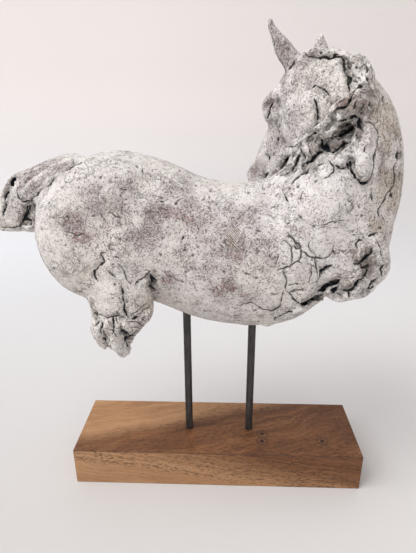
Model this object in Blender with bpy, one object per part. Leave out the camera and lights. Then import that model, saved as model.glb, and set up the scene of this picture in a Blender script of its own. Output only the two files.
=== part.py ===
# A horse torso in rough white stoneware, held over an oak block on two steel rods.
# Metres, +Z up. The origin is the middle of the block's underside. The horse faces +X,
# and its neck turns to its left, so that the head looks back past the flank on the +Y side.
# Inside the clay functions lengths are in millimetres, which read better at this size.

import math

import bmesh
import bpy
import numpy as np
from mathutils import Matrix, Vector

MM = 0.001

# The oak block.
BLOCK_LENGTH = 0.300
BLOCK_WIDTH = 0.086
BLOCK_HEIGHT = 0.042
BLOCK_ARRIS = 0.0008

# The steel rods, let into the block and into the belly.
ROD_DIAMETER = 0.008
ROD_X = {"rear_rod": -0.031, "front_rod": 0.035}
ROD_Y = -0.002
ROD_DEPTH_IN_BLOCK = 0.030
ROD_TOP_Z = 0.215
ROD_SIDES = 24
FIT_GAP = 0.0003

# The head's own sizes are given for the drawn length, and scaled to the real one.
HEAD_LENGTH = 0.135
HEAD_LENGTH_DRAWN = 0.118
POLL = Vector((0.072, 0.036, 0.418))
HEAD_TURN = math.radians(50)
HEAD_DROP = math.radians(60)

# The tail is cut off level at this height.
TAIL_END_Z = 0.264

# How far a cutter stands out of what it cuts.
CUTTER_REACH = 0.058

# What the finished clay is thinned to, so that the solid stays light.
CLAY_TRIANGLES = 9000


def clear_scene():
    for old in list(bpy.data.objects):
        bpy.data.objects.remove(old, do_unlink=True)


def finish(name, color, roughness, metallic=0.0):
    material = bpy.data.materials.new(name)
    material.use_nodes = True
    shader = material.node_tree.nodes["Principled BSDF"]
    shader.inputs["Base Color"].default_value = (*color, 1.0)
    shader.inputs["Roughness"].default_value = roughness
    shader.inputs["Metallic"].default_value = metallic
    return material


def add_object(name, mesh, material=None):
    piece = bpy.data.objects.new(name, mesh)
    bpy.context.scene.collection.objects.link(piece)
    if material is not None:
        mesh.materials.clear()
        mesh.materials.append(material)
    return piece


def applied(piece):
    """The mesh of an object with its modifiers applied, which leaves the scene without the object."""
    graph = bpy.context.evaluated_depsgraph_get()
    mesh = bpy.data.meshes.new_from_object(piece.evaluated_get(graph))
    bpy.data.objects.remove(piece, do_unlink=True)
    return mesh


def through(rows, steps):
    """Points on a smooth curve through the rows, with that many steps between two rows."""
    rows = np.asarray(rows, float)
    ends = np.vstack([2 * rows[0] - rows[1], rows, 2 * rows[-1] - rows[-2]])
    points = []
    for k in range(len(rows) - 1):
        before, start, end, after = ends[k : k + 4]
        for t in np.arange(steps) / steps:
            bend = 2 * before - 5 * start + 4 * end - after
            twist = 3 * start - 3 * end + after - before
            points.append(start + 0.5 * t * ((end - before) + t * (bend + t * twist)))
    points.append(rows[-1])
    return np.array(points)


class Clay:
    """Closed lumps and coils that are pressed together into one body. place is their frame."""

    def __init__(self, place=None):
        self.form = bmesh.new()
        self.place = place or Matrix.Identity(4)

    def add(self, mesh):
        self.form.from_mesh(mesh)

    def lump(self, centre, radii, lean=0.0, turn=0.0, roll=0.0):
        """An ellipsoid. lean tips it about Y, turn swings it about Z, roll tips it about X."""
        tilt = (
            Matrix.Rotation(math.radians(turn), 4, "Z")
            @ Matrix.Rotation(math.radians(lean), 4, "Y")
            @ Matrix.Rotation(math.radians(roll), 4, "X")
        )
        size = Matrix.Diagonal((*(Vector(radii) * MM), 1.0))
        where = self.place @ Matrix.Translation(Vector(centre) * MM) @ tilt @ size
        bmesh.ops.create_icosphere(self.form, subdivisions=4, radius=1.0, matrix=where)

    def loft(self, stations, steps=8, sides=28):
        """A round body through stations of (centre, up, half height, half width)."""
        rows = [(*c, *Vector(up).normalized(), tall, wide) for c, up, tall, wide in stations]
        rows = through(rows, steps)
        centres = rows[:, :3]
        along = np.gradient(centres, axis=0)
        along /= np.linalg.norm(along, axis=1)[:, None]
        up = rows[:, 3:6] - along * (rows[:, 3:6] * along).sum(1)[:, None]
        up /= np.linalg.norm(up, axis=1)[:, None]
        side = np.cross(along, up)
        end_turns = np.radians([75, 60, 45, 30, 15])
        rings = [(0, math.cos(a), -math.sin(a)) for a in end_turns]
        rings += [(k, 1.0, 0.0) for k in range(len(rows))]
        rings += [(len(rows) - 1, math.cos(a), math.sin(a)) for a in end_turns[::-1]]
        angles = np.arange(sides) * 2 * math.pi / sides
        loops = []
        for k, swell, push in rings:
            tall, wide = rows[k, 6:8]
            middle = centres[k] + along[k] * push * min(tall, wide)
            spokes = np.outer(np.cos(angles) * tall, up[k]) + np.outer(np.sin(angles) * wide, side[k])
            places = (middle + spokes * swell) * MM
            loops.append([self.form.verts.new(self.place @ Vector(p)) for p in places])
        for near, far in zip(loops, loops[1:]):
            for k in range(sides):
                after = (k + 1) % sides
                self.form.faces.new((near[k], near[after], far[after], far[k]))
        self.form.faces.new(loops[0][::-1])
        self.form.faces.new(loops[-1])

    def coil(self, path, radii, flat=1.0, thin=(0, 0, 1)):
        """A rolled coil along a path. flat below 1 beats it into a strap, thin along that way."""
        stations = [(p, thin, r * flat, r) for p, r in zip(path, radii)]
        self.loft(stations, steps=6, sides=14)

    def press(self, grain, strokes):
        """The clay as one skin. grain is its finest detail, strokes smooth it like a wet hand."""
        mesh = bpy.data.meshes.new("clay")
        self.form.to_mesh(mesh)
        self.form.free()
        worked = add_object("clay", mesh)
        skin = worked.modifiers.new("One skin", "REMESH")
        skin.mode = "VOXEL"
        skin.voxel_size = grain * MM
        hand = worked.modifiers.new("Wet hand", "SMOOTH")
        hand.factor = 0.5
        hand.iterations = strokes
        return applied(worked)


def model_body():
    """The torso and the neck, which rises and turns back over itself, as large soft forms."""
    up = (0, 0, 1)
    clay = Clay()
    clay.loft(
        [
            ((-134, 0, 284), up, 46, 36),
            ((-108, 0, 279), up, 64, 46),
            ((-72, 0, 271), up, 66, 50),
            ((-35, 0, 256), up, 65, 53),
            ((5, 0, 245), up, 68, 55),
            ((45, 0, 245), up, 71, 55),
            ((62, 0, 251), up, 63, 54),
            ((77, 0, 263), up, 51, 50),
            ((94, 0, 265), up, 50, 48),
            ((116, 0, 262), up, 46, 40),
        ]
    )
    clay.loft(
        [
            ((84, 0, 268), (-0.55, 0, 0.83), 62, 46),
            ((107, 0, 297), (-0.80, -0.10, 0.6), 57, 41),
            ((120, 2, 328), (-0.80, -0.50, 0.35), 48, 35),
            ((122, 8, 356), (-0.50, -0.80, 0.30), 41, 31),
            ((109, 15, 379), (-0.10, -0.85, 0.50), 35, 28),
            ((90, 21, 392), (0.20, -0.35, 0.90), 29, 24),
            ((74, 33, 392), (0.25, -0.20, 0.92), 26, 22),
        ]
    )
    return clay.press(grain=3.0, strokes=24)


def add_muscles(body):
    """Haunches, flank folds, shoulders and breast, laid on the soft forms."""
    clay = Clay()
    clay.add(body)
    for side in (-1, 1):
        clay.lump((-100, 26 * side, 303), (46, 25, 36), lean=-8)
        clay.lump((-124, 29 * side, 262), (36, 27, 52), lean=-16)
        clay.lump((-82, 32 * side, 262), (28, 23, 50), lean=26)
        clay.lump((-88, 35 * side, 224), (31, 22, 30), lean=8)
        clay.lump((-46, 37 * side, 274), (15, 12, 38), lean=30)
        clay.lump((86, 30 * side, 284), (30, 21, 46), lean=16)
        clay.lump((114, 27 * side, 258), (33, 23, 28), lean=-18)
        clay.lump((118, 27 * side, 240), (29, 23, 22), lean=-16)
        clay.lump((112, 32 * side, 229), (22, 18, 14), lean=-8)
        clay.lump((136, 30 * side, 246), (16, 19, 22))
    clay.lump((136, 0, 262), (21, 31, 35))
    return clay.press(grain=2.6, strokes=32)


def head_place():
    """The head's own frame: origin at the poll, +X down the nose, +Z out of the forehead."""
    facing = Vector((-math.cos(HEAD_TURN), math.sin(HEAD_TURN), 0))
    up = Vector((0, 0, 1))
    nose = math.cos(HEAD_DROP) * facing - math.sin(HEAD_DROP) * up
    brow = math.sin(HEAD_DROP) * facing + math.cos(HEAD_DROP) * up
    axes = Matrix((nose, brow.cross(nose), brow)).transposed().to_4x4()
    return Matrix.Translation(POLL) @ axes @ Matrix.Scale(HEAD_LENGTH / HEAD_LENGTH_DRAWN, 4)


def model_head():
    """The skull, jaws, eyes and muzzle, modelled straight and then set at the poll."""
    ridge = (0, 0, 1)
    clay = Clay(head_place())
    clay.lump((20, 0, -17), (25, 19, 19))
    clay.loft([((30, 0, -17), ridge, 18, 17), ((60, 0, -17), ridge, 15, 13), ((90, 0, -15), ridge, 12, 10)])
    clay.lump((103, 0, -15), (13, 10.5, 12))
    clay.lump((100, 0, -27), (9, 7.5, 5.5))
    for side in (-1, 1):
        clay.lump((32, 11 * side, -35), (23, 10, 18), lean=10)
        clay.coil([(26, 14 * side, -6), (37, 17 * side, -4), (49, 14 * side, -8)], (5, 5, 4))
        clay.lump((41, 17 * side, -12), (6.5, 4.5, 5))
        clay.coil([(56, 10 * side, -16), (72, 9 * side, -18), (90, 7 * side, -19)], (4, 3, 3))
        clay.coil([(52, 7 * side, -40), (78, 5 * side, -31), (98, 4 * side, -27)], (8, 6, 5))
        clay.lump((102, 8 * side, -9), (8, 4, 6), lean=20)
    return clay.press(grain=1.8, strokes=3)


def add_ears(clay):
    """The near ear is long and curved like a horn, the far one is a short leaf."""
    near = [(66, 30, 408), (57, 26, 420), (50, 24, 431), (45, 23, 440), (44, 22, 446)]
    clay.coil(near, (12, 10, 7, 4, 2), flat=0.5, thin=(0.35, 0.8, 0.2))
    far = [(88, 47, 410), (92, 50, 424), (92, 51, 434), (92, 51, 440)]
    clay.coil(far, (10, 9, 5, 2), flat=0.45, thin=(0.3, 0.9, 0.3))


def add_mane(clay):
    """The mane, in thick rolls: over the poll, down the crest, then slantwise to the withers."""
    clay.lump((86, 20, 346), (20, 22, 32), lean=20)
    clay.coil([(70, 16, 413), (82, 13, 416), (95, 9, 416), (107, 3, 411)], (5, 4, 5, 6))
    for x, y, z, r in ((78, 12, 418, 4.5), (89, 9, 418, 4), (94, 8, 418, 5), (102, 5, 416, 4.5)):
        clay.lump((x, y, z), (r, r, r))
    clay.coil([(104, 3, 409), (113, -3, 406), (117, -9, 399), (113, -19, 387)], (7, 8, 8, 7), flat=0.8)
    clay.coil([(116, -20, 387), (105, -22, 379), (94, -18, 372)], (7, 7, 6))
    clay.coil([(120, -24, 378), (108, -29, 369), (97, -25, 363)], (6, 7, 5))
    clay.coil([(86, -13, 360), (92, -23, 351), (103, -30, 348), (113, -32, 355)], (5, 7, 6, 6))
    flap = [(113, -28, 356), (118, -35, 343), (118, -39, 329), (114, -39, 320)]
    clay.coil(flap, (9, 13, 12, 7), flat=0.5, thin=(0.2, -1, 0.2))
    clay.coil([(56, 6, 311), (65, 2, 324), (76, -4, 338), (89, -9, 352)], (4, 5, 6, 5))
    clay.coil([(61, -3, 311), (71, -9, 325), (83, -16, 341)], (4, 6, 6))
    clay.coil([(72, -14, 314), (83, -22, 328), (95, -27, 339)], (7, 9, 7), flat=0.7, thin=(0, -1, 0.3))
    clay.coil([(92, -28, 332), (103, -33, 338)], (8, 8), flat=0.7, thin=(0, -1, 0))


def add_tail(clay):
    """A thick slab that leaves the croup level, droops and is cut off flat, with a lobe folded on it."""
    slab = [(-100, 4, 308), (-138, 8, 313), (-170, 12, 303), (-193, 14, 286), (-198, 15, 262)]
    clay.coil(slab, (16, 20, 22, 22, 20), flat=0.6, thin=(0, 1, 0))
    clay.coil([(-132, -5, 318), (-158, -8, 312), (-179, -7, 301)], (11, 14, 12), flat=0.5, thin=(0, 1, 0))
    clay.lump((-180, 8, 267), (6, 9, 6))


def add_stumps(clay):
    """What is left of the legs: torn thighs behind, rolled and torn shoulders in front."""
    tips = ((-1, 0), (1, 22))
    for side, lost in tips:
        thigh = [
            (-86, 37 * side, 214),
            (-88, 40 * side, 196 + lost / 3),
            (-94, 41 * side, 180 + lost),
            (-91, 41 * side, 168 + lost),
        ]
        clay.coil(thigh, (27, 23, 17, 10), flat=0.75, thin=(0, 1, 0))
        clay.lump((-88, 42 * side, 163 + lost), (8, 9, 8))
        clay.lump((-70, 38 * side, 201), (12, 15, 13))
        clay.lump((-106, 40 * side, 186 + lost / 2), (8, 12, 14))
        clay.lump((112, 33 * side, 227), (20, 17, 12), lean=-8)
        clay.lump((137, 31 * side, 246), (13, 17, 19))


def score(mesh, path, width, depth):
    """A groove in the near side, along a path of points (x, z) drawn on the side view, in millimetres."""
    flat = np.empty(len(mesh.vertices) * 3)
    mesh.vertices.foreach_get("co", flat)
    points = flat.reshape(-1, 3) / MM
    normals = np.array([v.normal[:] for v in mesh.vertices])
    drawn = points[:, [0, 2]]
    away = np.full(len(points), np.inf)
    for start, end in zip(np.array(path, float), np.array(path[1:], float)):
        run = end - start
        t = np.clip((drawn - start) @ run / (run @ run), 0, 1)
        away = np.minimum(away, np.linalg.norm(drawn - start - np.outer(t, run), axis=1))
    near_side = np.clip(-3 * normals[:, 1], 0, 1)
    groove = np.clip(1 - away / width, 0, 1)
    groove = groove * groove * (3 - 2 * groove) * near_side
    points -= normals * (groove * depth)[:, None]
    mesh.vertices.foreach_set("co", (points * MM).ravel())
    mesh.update()


def cylinder(name, radius, low, high, at):
    form = bmesh.new()
    where = Matrix.Translation((*at, (low + high) / 2))
    ends = {"radius1": radius, "radius2": radius, "cap_ends": True}
    bmesh.ops.create_cone(form, segments=ROD_SIDES, depth=high - low, matrix=where, **ends)
    mesh = bpy.data.meshes.new(name)
    form.to_mesh(mesh)
    form.free()
    return mesh


def socket(low, high, x):
    """The cutter of a rod's hole, a gap wider than the rod all round."""
    return cylinder("socket", ROD_DIAMETER / 2 + FIT_GAP, low, high, (x, ROD_Y))


def box(name, low, high):
    form = bmesh.new()
    low, high = Vector(low), Vector(high)
    where = Matrix.Translation((low + high) / 2) @ Matrix.Diagonal((*(high - low), 1.0))
    bmesh.ops.create_cube(form, size=1.0, matrix=where)
    mesh = bpy.data.meshes.new(name)
    form.to_mesh(mesh)
    form.free()
    return mesh


def cut(body, tool):
    """The body's mesh with the tool's mesh taken away."""
    worked = add_object("body", body)
    knife = add_object("tool", tool)
    step = worked.modifiers.new("Cut", "BOOLEAN")
    step.operation = "DIFFERENCE"
    step.solver = "EXACT"
    step.object = knife
    mesh = applied(worked)
    bpy.data.objects.remove(knife, do_unlink=True)
    return mesh


def thin_out(body, triangles):
    """The body with as few triangles as given, kept close where the form is sharp."""
    worked = add_object("body", body)
    worked.modifiers.new("Triangles", "TRIANGULATE")
    body.calc_loop_triangles()
    step = worked.modifiers.new("Thin out", "DECIMATE")
    step.ratio = triangles / len(body.loop_triangles)
    return applied(worked)


# The deepest cracks and torn hollows of the near side, drawn on the side view:
# (half width, depth, points (x, z) along it), in millimetres.
FISSURES = (
    # Down the crest, and between the rolls of the mane.
    (4, 5, [(102, 411), (104, 402), (106, 394), (104, 386)]),
    (3.5, 5, [(92, 371), (98, 372), (104, 381)]),
    (3.5, 4, [(95, 365), (107, 367), (112, 360)]),
    (7, 10, [(97, 356), (104, 359)]),
    (4, 5, [(85, 350), (88, 344), (94, 341), (101, 345), (106, 350)]),
    # Round the hanging lock and between the locks on the withers.
    (4, 5, [(105, 336), (108, 327), (112, 319), (118, 316), (122, 320)]),
    (4, 4, [(63, 325), (70, 336)]),
    (4, 4, [(72, 329), (78, 334), (87, 342)]),
    # Across the near breast, and the torn hollows under it.
    (3, 4, [(129, 265), (124, 257), (116, 253)]),
    (3, 4, [(127, 253), (123, 239), (112, 228)]),
    (5, 7, [(92, 225), (104, 237)]),
    (4, 7, [(101, 223), (104, 231)]),
    (5, 7, [(76, 213), (92, 217)]),
    # The near thigh and the fold in front of it.
    (3, 4, [(-96, 261), (-97, 254), (-103, 246), (-104, 238)]),
    (3, 4, [(-81, 232), (-79, 224), (-79, 206)]),
    (4, 4, [(-92, 203), (-80, 204), (-74, 202)]),
    (5, 5, [(-54, 244), (-56, 233), (-55, 223)]),
    (5, 6, [(-84, 180), (-86, 188)]),
    (5, 6, [(-102, 177), (-100, 185)]),
    # The tail: torn holes in its band, and the folded lobe's edge.
    (4, 6, [(-193, 313), (-194, 307)]),
    (4, 6, [(-199, 301), (-200, 294)]),
    (5, 6, [(-168, 292), (-181, 284), (-186, 273)]),
)


def model_horse():
    clay = Clay()
    clay.add(add_muscles(model_body()))
    clay.add(model_head())
    add_ears(clay)
    add_mane(clay)
    add_tail(clay)
    add_stumps(clay)
    horse = clay.press(grain=2.0, strokes=2)
    for width, depth, path in FISSURES:
        score(horse, path, width, depth)
    horse = thin_out(horse, CLAY_TRIANGLES)
    below_tail = box("below_tail", (-0.26, -0.05, TAIL_END_Z - CUTTER_REACH), (-0.16, 0.07, TAIL_END_Z))
    horse = cut(horse, below_tail)
    for x in ROD_X.values():
        horse = cut(horse, socket(BLOCK_HEIGHT + CUTTER_REACH, ROD_TOP_Z + FIT_GAP, x))
    return horse


def model_block():
    half = Vector((BLOCK_LENGTH / 2, BLOCK_WIDTH / 2))
    block = box("block", (-half.x, -half.y, 0), (half.x, half.y, BLOCK_HEIGHT))
    worked = add_object("block", block)
    arris = worked.modifiers.new("Arris", "BEVEL")
    arris.width = BLOCK_ARRIS
    arris.segments = 2
    block = applied(worked)
    for x in ROD_X.values():
        foot = BLOCK_HEIGHT - ROD_DEPTH_IN_BLOCK - FIT_GAP
        block = cut(block, socket(foot, BLOCK_HEIGHT + CUTTER_REACH, x))
    return block


def build():
    clear_scene()
    stoneware = finish("white_stoneware", (0.74, 0.70, 0.69), 0.85)
    steel = finish("dark_steel", (0.045, 0.046, 0.05), 0.45, metallic=1.0)
    oak = finish("oiled_oak", (0.28, 0.15, 0.08), 0.6)
    add_object("horse", model_horse(), stoneware)
    for name, x in ROD_X.items():
        rod = cylinder(name, ROD_DIAMETER / 2, BLOCK_HEIGHT - ROD_DEPTH_IN_BLOCK, ROD_TOP_Z, (x, ROD_Y))
        add_object(name, rod, steel)
    add_object("oak_block", model_block(), oak)


build()
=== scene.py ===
# A horse torso in rough white stoneware on two steel rods, let into a block of oiled oak.
# The sections follow the sculpture from the block upwards, after the camera and the studio.
# Metres and +Z up, in the CAD's frame. Where a name ends in MM or PX, or in mm or px, the number is
# in millimetres or in pixels of the camera's frame.

import math

import bmesh
import bpy
import numpy as np
from mathutils import Matrix, Vector
from mathutils.bvhtree import BVHTree


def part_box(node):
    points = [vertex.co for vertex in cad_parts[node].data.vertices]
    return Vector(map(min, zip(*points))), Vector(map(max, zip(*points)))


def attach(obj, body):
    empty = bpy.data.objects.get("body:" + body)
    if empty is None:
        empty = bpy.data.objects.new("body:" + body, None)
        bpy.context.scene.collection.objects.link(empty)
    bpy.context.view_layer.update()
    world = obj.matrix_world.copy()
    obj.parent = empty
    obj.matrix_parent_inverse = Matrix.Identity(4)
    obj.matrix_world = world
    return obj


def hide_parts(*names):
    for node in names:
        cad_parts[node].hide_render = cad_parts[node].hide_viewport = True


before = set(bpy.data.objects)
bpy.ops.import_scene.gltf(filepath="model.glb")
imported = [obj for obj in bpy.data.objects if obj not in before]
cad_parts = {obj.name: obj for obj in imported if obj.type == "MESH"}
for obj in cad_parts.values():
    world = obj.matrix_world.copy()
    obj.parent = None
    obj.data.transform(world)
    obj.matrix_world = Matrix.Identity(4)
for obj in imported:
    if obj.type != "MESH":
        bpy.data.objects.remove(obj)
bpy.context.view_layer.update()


# The camera: a picture taken by hand from just above the horse's back, looking a little down.
# Its lens is given in pixels of a frame 416 wide and 553 high, as is every place that is given
# in pixels further down.
FRAME_WIDE, FRAME_HIGH = 416, 553
LENS_PX = 437.96
SENSOR_MM = 36
EYE = Vector((0.00546, -0.40053, 0.37296))
TURN, DIP, TIP = 0.0375, 0.3617, -0.0045
NEAREST_SEEN = 0.02

camera = bpy.data.objects.new("studio_camera", bpy.data.cameras.new("studio_camera"))
camera.data.sensor_width = SENSOR_MM
camera.data.lens = SENSOR_MM * LENS_PX / FRAME_HIGH
camera.matrix_world = (
    Matrix.Translation(EYE)
    @ Matrix.Rotation(TURN, 4, "Z")
    @ Matrix.Rotation(math.pi / 2 - DIP, 4, "X")
    @ Matrix.Rotation(TIP, 4, "Z")
)
camera.data.clip_start = NEAREST_SEEN
bpy.context.scene.collection.objects.link(camera)
bpy.context.scene.camera = camera
bpy.context.scene.view_settings.view_transform = "Standard"
LOOK = camera.matrix_world.to_3x3()


# The studio: a white paper floor that curves up into a wall all round, and soft light on it.
# A large light like a window stands at the front left, and a weak one fills in from the right.
COVE = [(1.3, 0.0), (1.9, 0.04), (2.4, 0.22), (2.8, 0.6), (3.0, 1.2), (3.05, 3.2)]
COVE_SIDES = 96
PAPER_ROUGHNESS = 0.9
AIR_COLOUR, AIR_STRENGTH = (1.0, 0.99, 0.985, 1), 0.66
WINDOW = {
    "place": (-1.7, -0.9, 2.6),
    "aim": (0, 0, 0.15),
    "size": (2.2, 2.2),
    "watts": 84,
    "colour": (1.0, 0.985, 0.975),
}
FILL = {
    "place": (0.6, -2.2, 0.9),
    "aim": (0, 0, 0.2),
    "size": (1.4, 1.4),
    "watts": 10,
    "colour": (1.0, 0.97, 0.94),
}
# The paper's tone from the front of the floor to the top of the wall, at the left and the right.
# These tones hold painted light and shade: the floor is darker at the front left, a painted pool of
# light lifts the floor at the right where the horse's shadow falls, and painted shade lies low on
# the wall at the right.
LEFT_TONES_AND_LIGHT = (
    (0.0, (0.42, 0.395, 0.375)),
    (0.3, (0.71, 0.735, 0.775)),
    (0.9, (0.84, 0.80, 0.785)),
)
RIGHT_TONES_AND_LIGHT = (
    (0.0, (0.74, 0.72, 0.71)),
    (0.15, (0.76, 0.75, 0.75)),
    (0.3, (0.67, 0.665, 0.675)),
    (0.9, (0.75, 0.715, 0.705)),
)


def put(tree, kind, inputs=None, **settings):
    """A new node, with its settings, and each input given a value or linked to a socket."""
    node = tree.nodes.new(kind)
    for name, value in settings.items():
        setattr(node, name, value)
    for name, value in (inputs or {}).items():
        if isinstance(value, bpy.types.NodeSocket):
            tree.links.new(value, node.inputs[name])
        else:
            node.inputs[name].default_value = value
    return node


def new_material(name):
    """A node material, its tree, and its Principled shader."""
    material = bpy.data.materials.new(name)
    material.use_nodes = True
    tree = material.node_tree
    return material, tree, tree.nodes["Principled BSDF"]


def ramp(tree, value, stops):
    """Colours along a value, from stops of (place, colour)."""
    node = put(tree, "ShaderNodeValToRGB", {0: value})
    band = node.color_ramp
    while len(band.elements) < len(stops):
        band.elements.new(0.5)
    for element, (place, colour) in zip(band.elements, stops):
        element.position = place
        element.color = (*colour, 1)
    return node.outputs["Color"]


def blend_colour(tree, share, first, second):
    """The first colour with a share of the second laid over it."""
    # Of a mix node's sockets, 6 and 7 are the two colours, and 2 gives the blended one.
    return put(tree, "ShaderNodeMix", {0: share, 6: first, 7: second}, data_type="RGBA").outputs[2]


def add_piece(name, mesh, material):
    """An object at the origin that shows the mesh in one material."""
    piece = bpy.data.objects.new(name, mesh)
    bpy.context.scene.collection.objects.link(piece)
    mesh.materials.clear()
    mesh.materials.append(material)
    return piece


cove_form = bmesh.new()
cove_rings = []
corner_turns = np.arange(COVE_SIDES) * 2 * math.pi / COVE_SIDES
for radius, height in COVE:
    ring = [(radius * math.cos(turn), radius * math.sin(turn), height) for turn in corner_turns]
    cove_rings.append([cove_form.verts.new(corner) for corner in ring])
cove_form.faces.new(cove_rings[0])
for inner, outer in zip(cove_rings, cove_rings[1:]):
    for corner in range(COVE_SIDES):
        after = (corner + 1) % COVE_SIDES
        cove_form.faces.new((inner[corner], outer[corner], outer[after], inner[after]))
cove_mesh = bpy.data.meshes.new("studio_floor")
cove_form.to_mesh(cove_mesh)
cove_form.free()
cove_mesh.shade_smooth()

cove_paint, cove_tree, cove_shader = new_material("studio_paper")
cove_place = put(cove_tree, "ShaderNodeTexCoord").outputs["Object"]


def share_along(direction, low, high):
    """How far a place of the paper lies along a direction, as a share of the way from low to high."""
    sockets = {0: cove_place, 1: direction}
    reached = put(cove_tree, "ShaderNodeVectorMath", sockets, operation="DOT_PRODUCT")
    sockets = {"Value": reached.outputs["Value"], "From Min": low, "From Max": high}
    return put(cove_tree, "ShaderNodeMapRange", sockets).outputs["Result"]


# The paper is painted lighter and darker across the floor and the wall: painted light and shade.
back_share = share_along(direction=(0, 1, 1.5), low=-0.4, high=3.6)
right_share = share_along(direction=(1, 0, 0), low=-0.6, high=1.0)
cove_tones = [ramp(cove_tree, back_share, tones) for tones in (LEFT_TONES_AND_LIGHT, RIGHT_TONES_AND_LIGHT)]
cove_tone = blend_colour(cove_tree, right_share, *cove_tones)
cove_tree.links.new(cove_tone, cove_shader.inputs["Base Color"])
cove_shader.inputs["Roughness"].default_value = PAPER_ROUGHNESS
floor = add_piece("studio_floor", cove_mesh, cove_paint)

world = bpy.data.worlds.new("studio_air")
bpy.context.scene.world = world
world.use_nodes = True
world.node_tree.nodes["Background"].inputs["Color"].default_value = AIR_COLOUR
world.node_tree.nodes["Background"].inputs["Strength"].default_value = AIR_STRENGTH


def softbox(name, place, aim, size, watts, colour):
    """A light with a square cloth front, turned towards its aim."""
    light = bpy.data.lights.new(name, "AREA")
    light.shape = "RECTANGLE"
    light.size, light.size_y = size
    light.energy = watts
    light.color = colour
    stand = bpy.data.objects.new(name, light)
    stand.location = place
    stand.rotation_euler = (Vector(aim) - Vector(place)).to_track_quat("-Z", "Y").to_euler()
    bpy.context.scene.collection.objects.link(stand)


softbox("window", **WINDOW)
softbox("fill", **FILL)


# The oak block: one sawn and planed length of oak, its arrises eased, finished with oil. The two
# rods are let into its top. The CAD's block is right as it is; here it gets its grain, its open
# pores and its knots.
RINGS_WAY = (0.140, -0.325, 0.935)
GRAIN_WAY = (0.982, 0.155, -0.093)
SIDE_WAY = (-0.114, 0.931, 0.341)
RING_WAVE = 0.012
HEARTWOOD = (
    (0.36, (0.078, 0.030, 0.0115)),
    (0.50, (0.150, 0.062, 0.025)),
    (0.62, (0.225, 0.102, 0.042)),
)
SAPWOOD = (
    (0.36, (0.29, 0.148, 0.068)),
    (0.52, (0.395, 0.222, 0.112)),
    (0.66, (0.47, 0.282, 0.152)),
)
PORE = (0.060, 0.022, 0.010, 1)
KNOT, KNOT_BARK = (0.022, 0.009, 0.006, 1), (0.050, 0.020, 0.011, 1)
HAND_DIRT, HAND_DIRT_SHARE = (0.055, 0.028, 0.017, 1), 0.6
KNOTS = [(0.0492, -0.0115), (0.0483, -0.0224), (0.1125, -0.0204)]
# The shares of rings, fibres and broad streaks in the grain.
RINGS_SHARE, FIBRES_SHARE, BROAD_SHARE = 0.42, 0.30, 0.28
# How the sapwood's edge wavers with the rings, and how it slants over the top and the front.
EDGE_WAVER, EDGE_SLANT_ON_TOP, EDGE_SLANT_ON_FRONT = 0.006, 0.12, 0.09
MORE_PORES_ON_FRONT = 0.007
KNOT_RAGGEDNESS = 0.002
# The front face ends between these two depths below the top, and the dirty arris reaches from
# these depths below the top and behind the front.
FRONT_ENDS = (0.0008, 0.0001)
ARRIS_BELOW_TOP, ARRIS_BEHIND_FRONT = (0.0014, 0.0004), (0.0003, 0.0012)
OAK_ROUGHNESS, FIBRE_ROUGHNESS, FIBRE_HEIGHT = 0.42, 0.2, 0.35


def reckon(tree, operation, a, b=0.0, c=0.0):
    """The result of a sum, product or comparison of two or three values."""
    return put(tree, "ShaderNodeMath", {0: a, 1: b, 2: c}, operation=operation).outputs[0]


def rise(tree, value, low, high, to_low=0.0, to_high=1.0):
    """A soft step from to_low to to_high, while the value goes from low to high."""
    sockets = {"Value": value, "From Min": low, "From Max": high, "To Min": to_low, "To Max": to_high}
    return put(tree, "ShaderNodeMapRange", sockets, interpolation_type="SMOOTHSTEP").outputs["Result"]


def cloudy(tree, where, scale, detail=2.0, roughness=0.5, distortion=0.0):
    """A soft random pattern, so many clouds to the metre."""
    sockets = {"Vector": where, "Scale": scale, "Detail": detail, "Roughness": roughness}
    sockets["Distortion"] = distortion
    return put(tree, "ShaderNodeTexNoise", sockets).outputs["Fac"]


oak, tree, shader = new_material("oiled_oak_grain")
where = put(tree, "ShaderNodeTexCoord").outputs["Object"]
block_low, block_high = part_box("oak_block")


def along(direction):
    """How far a place lies along a direction."""
    node = put(tree, "ShaderNodeVectorMath", {0: where, 1: direction}, operation="DOT_PRODUCT")
    return node.outputs["Value"]


# The rings stand across this board at a slant, and wave a little.
wave = reckon(tree, "SUBTRACT", cloudy(tree, where, scale=16.0), 0.5)
ring_way = reckon(tree, "ADD", along(RINGS_WAY), reckon(tree, "MULTIPLY", wave, RING_WAVE))
grain_way, side_way = along(GRAIN_WAY), along(SIDE_WAY)


def grained(lengthwise, sideways, per_metre, **details):
    """Cloudy streaks that run with the grain, so many of them to the metre across the rings."""
    sockets = {
        "X": reckon(tree, "MULTIPLY", grain_way, lengthwise),
        "Y": reckon(tree, "MULTIPLY", side_way, sideways),
        "Z": reckon(tree, "MULTIPLY", ring_way, per_metre),
    }
    return cloudy(tree, put(tree, "ShaderNodeCombineXYZ", sockets).outputs[0], scale=1.0, **details)


rings = grained(lengthwise=10.0, sideways=45.0, per_metre=330.0, detail=3.0, distortion=0.6)
fibres = grained(lengthwise=50.0, sideways=700.0, per_metre=1300.0)
broad = grained(lengthwise=5.0, sideways=14.0, per_metre=70.0)
grain = reckon(
    tree,
    "ADD",
    reckon(tree, "MULTIPLY", rings, RINGS_SHARE),
    reckon(tree, "MULTIPLY", fibres, FIBRES_SHARE),
)
grain = reckon(tree, "ADD", grain, reckon(tree, "MULTIPLY", broad, BROAD_SHARE))
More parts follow.
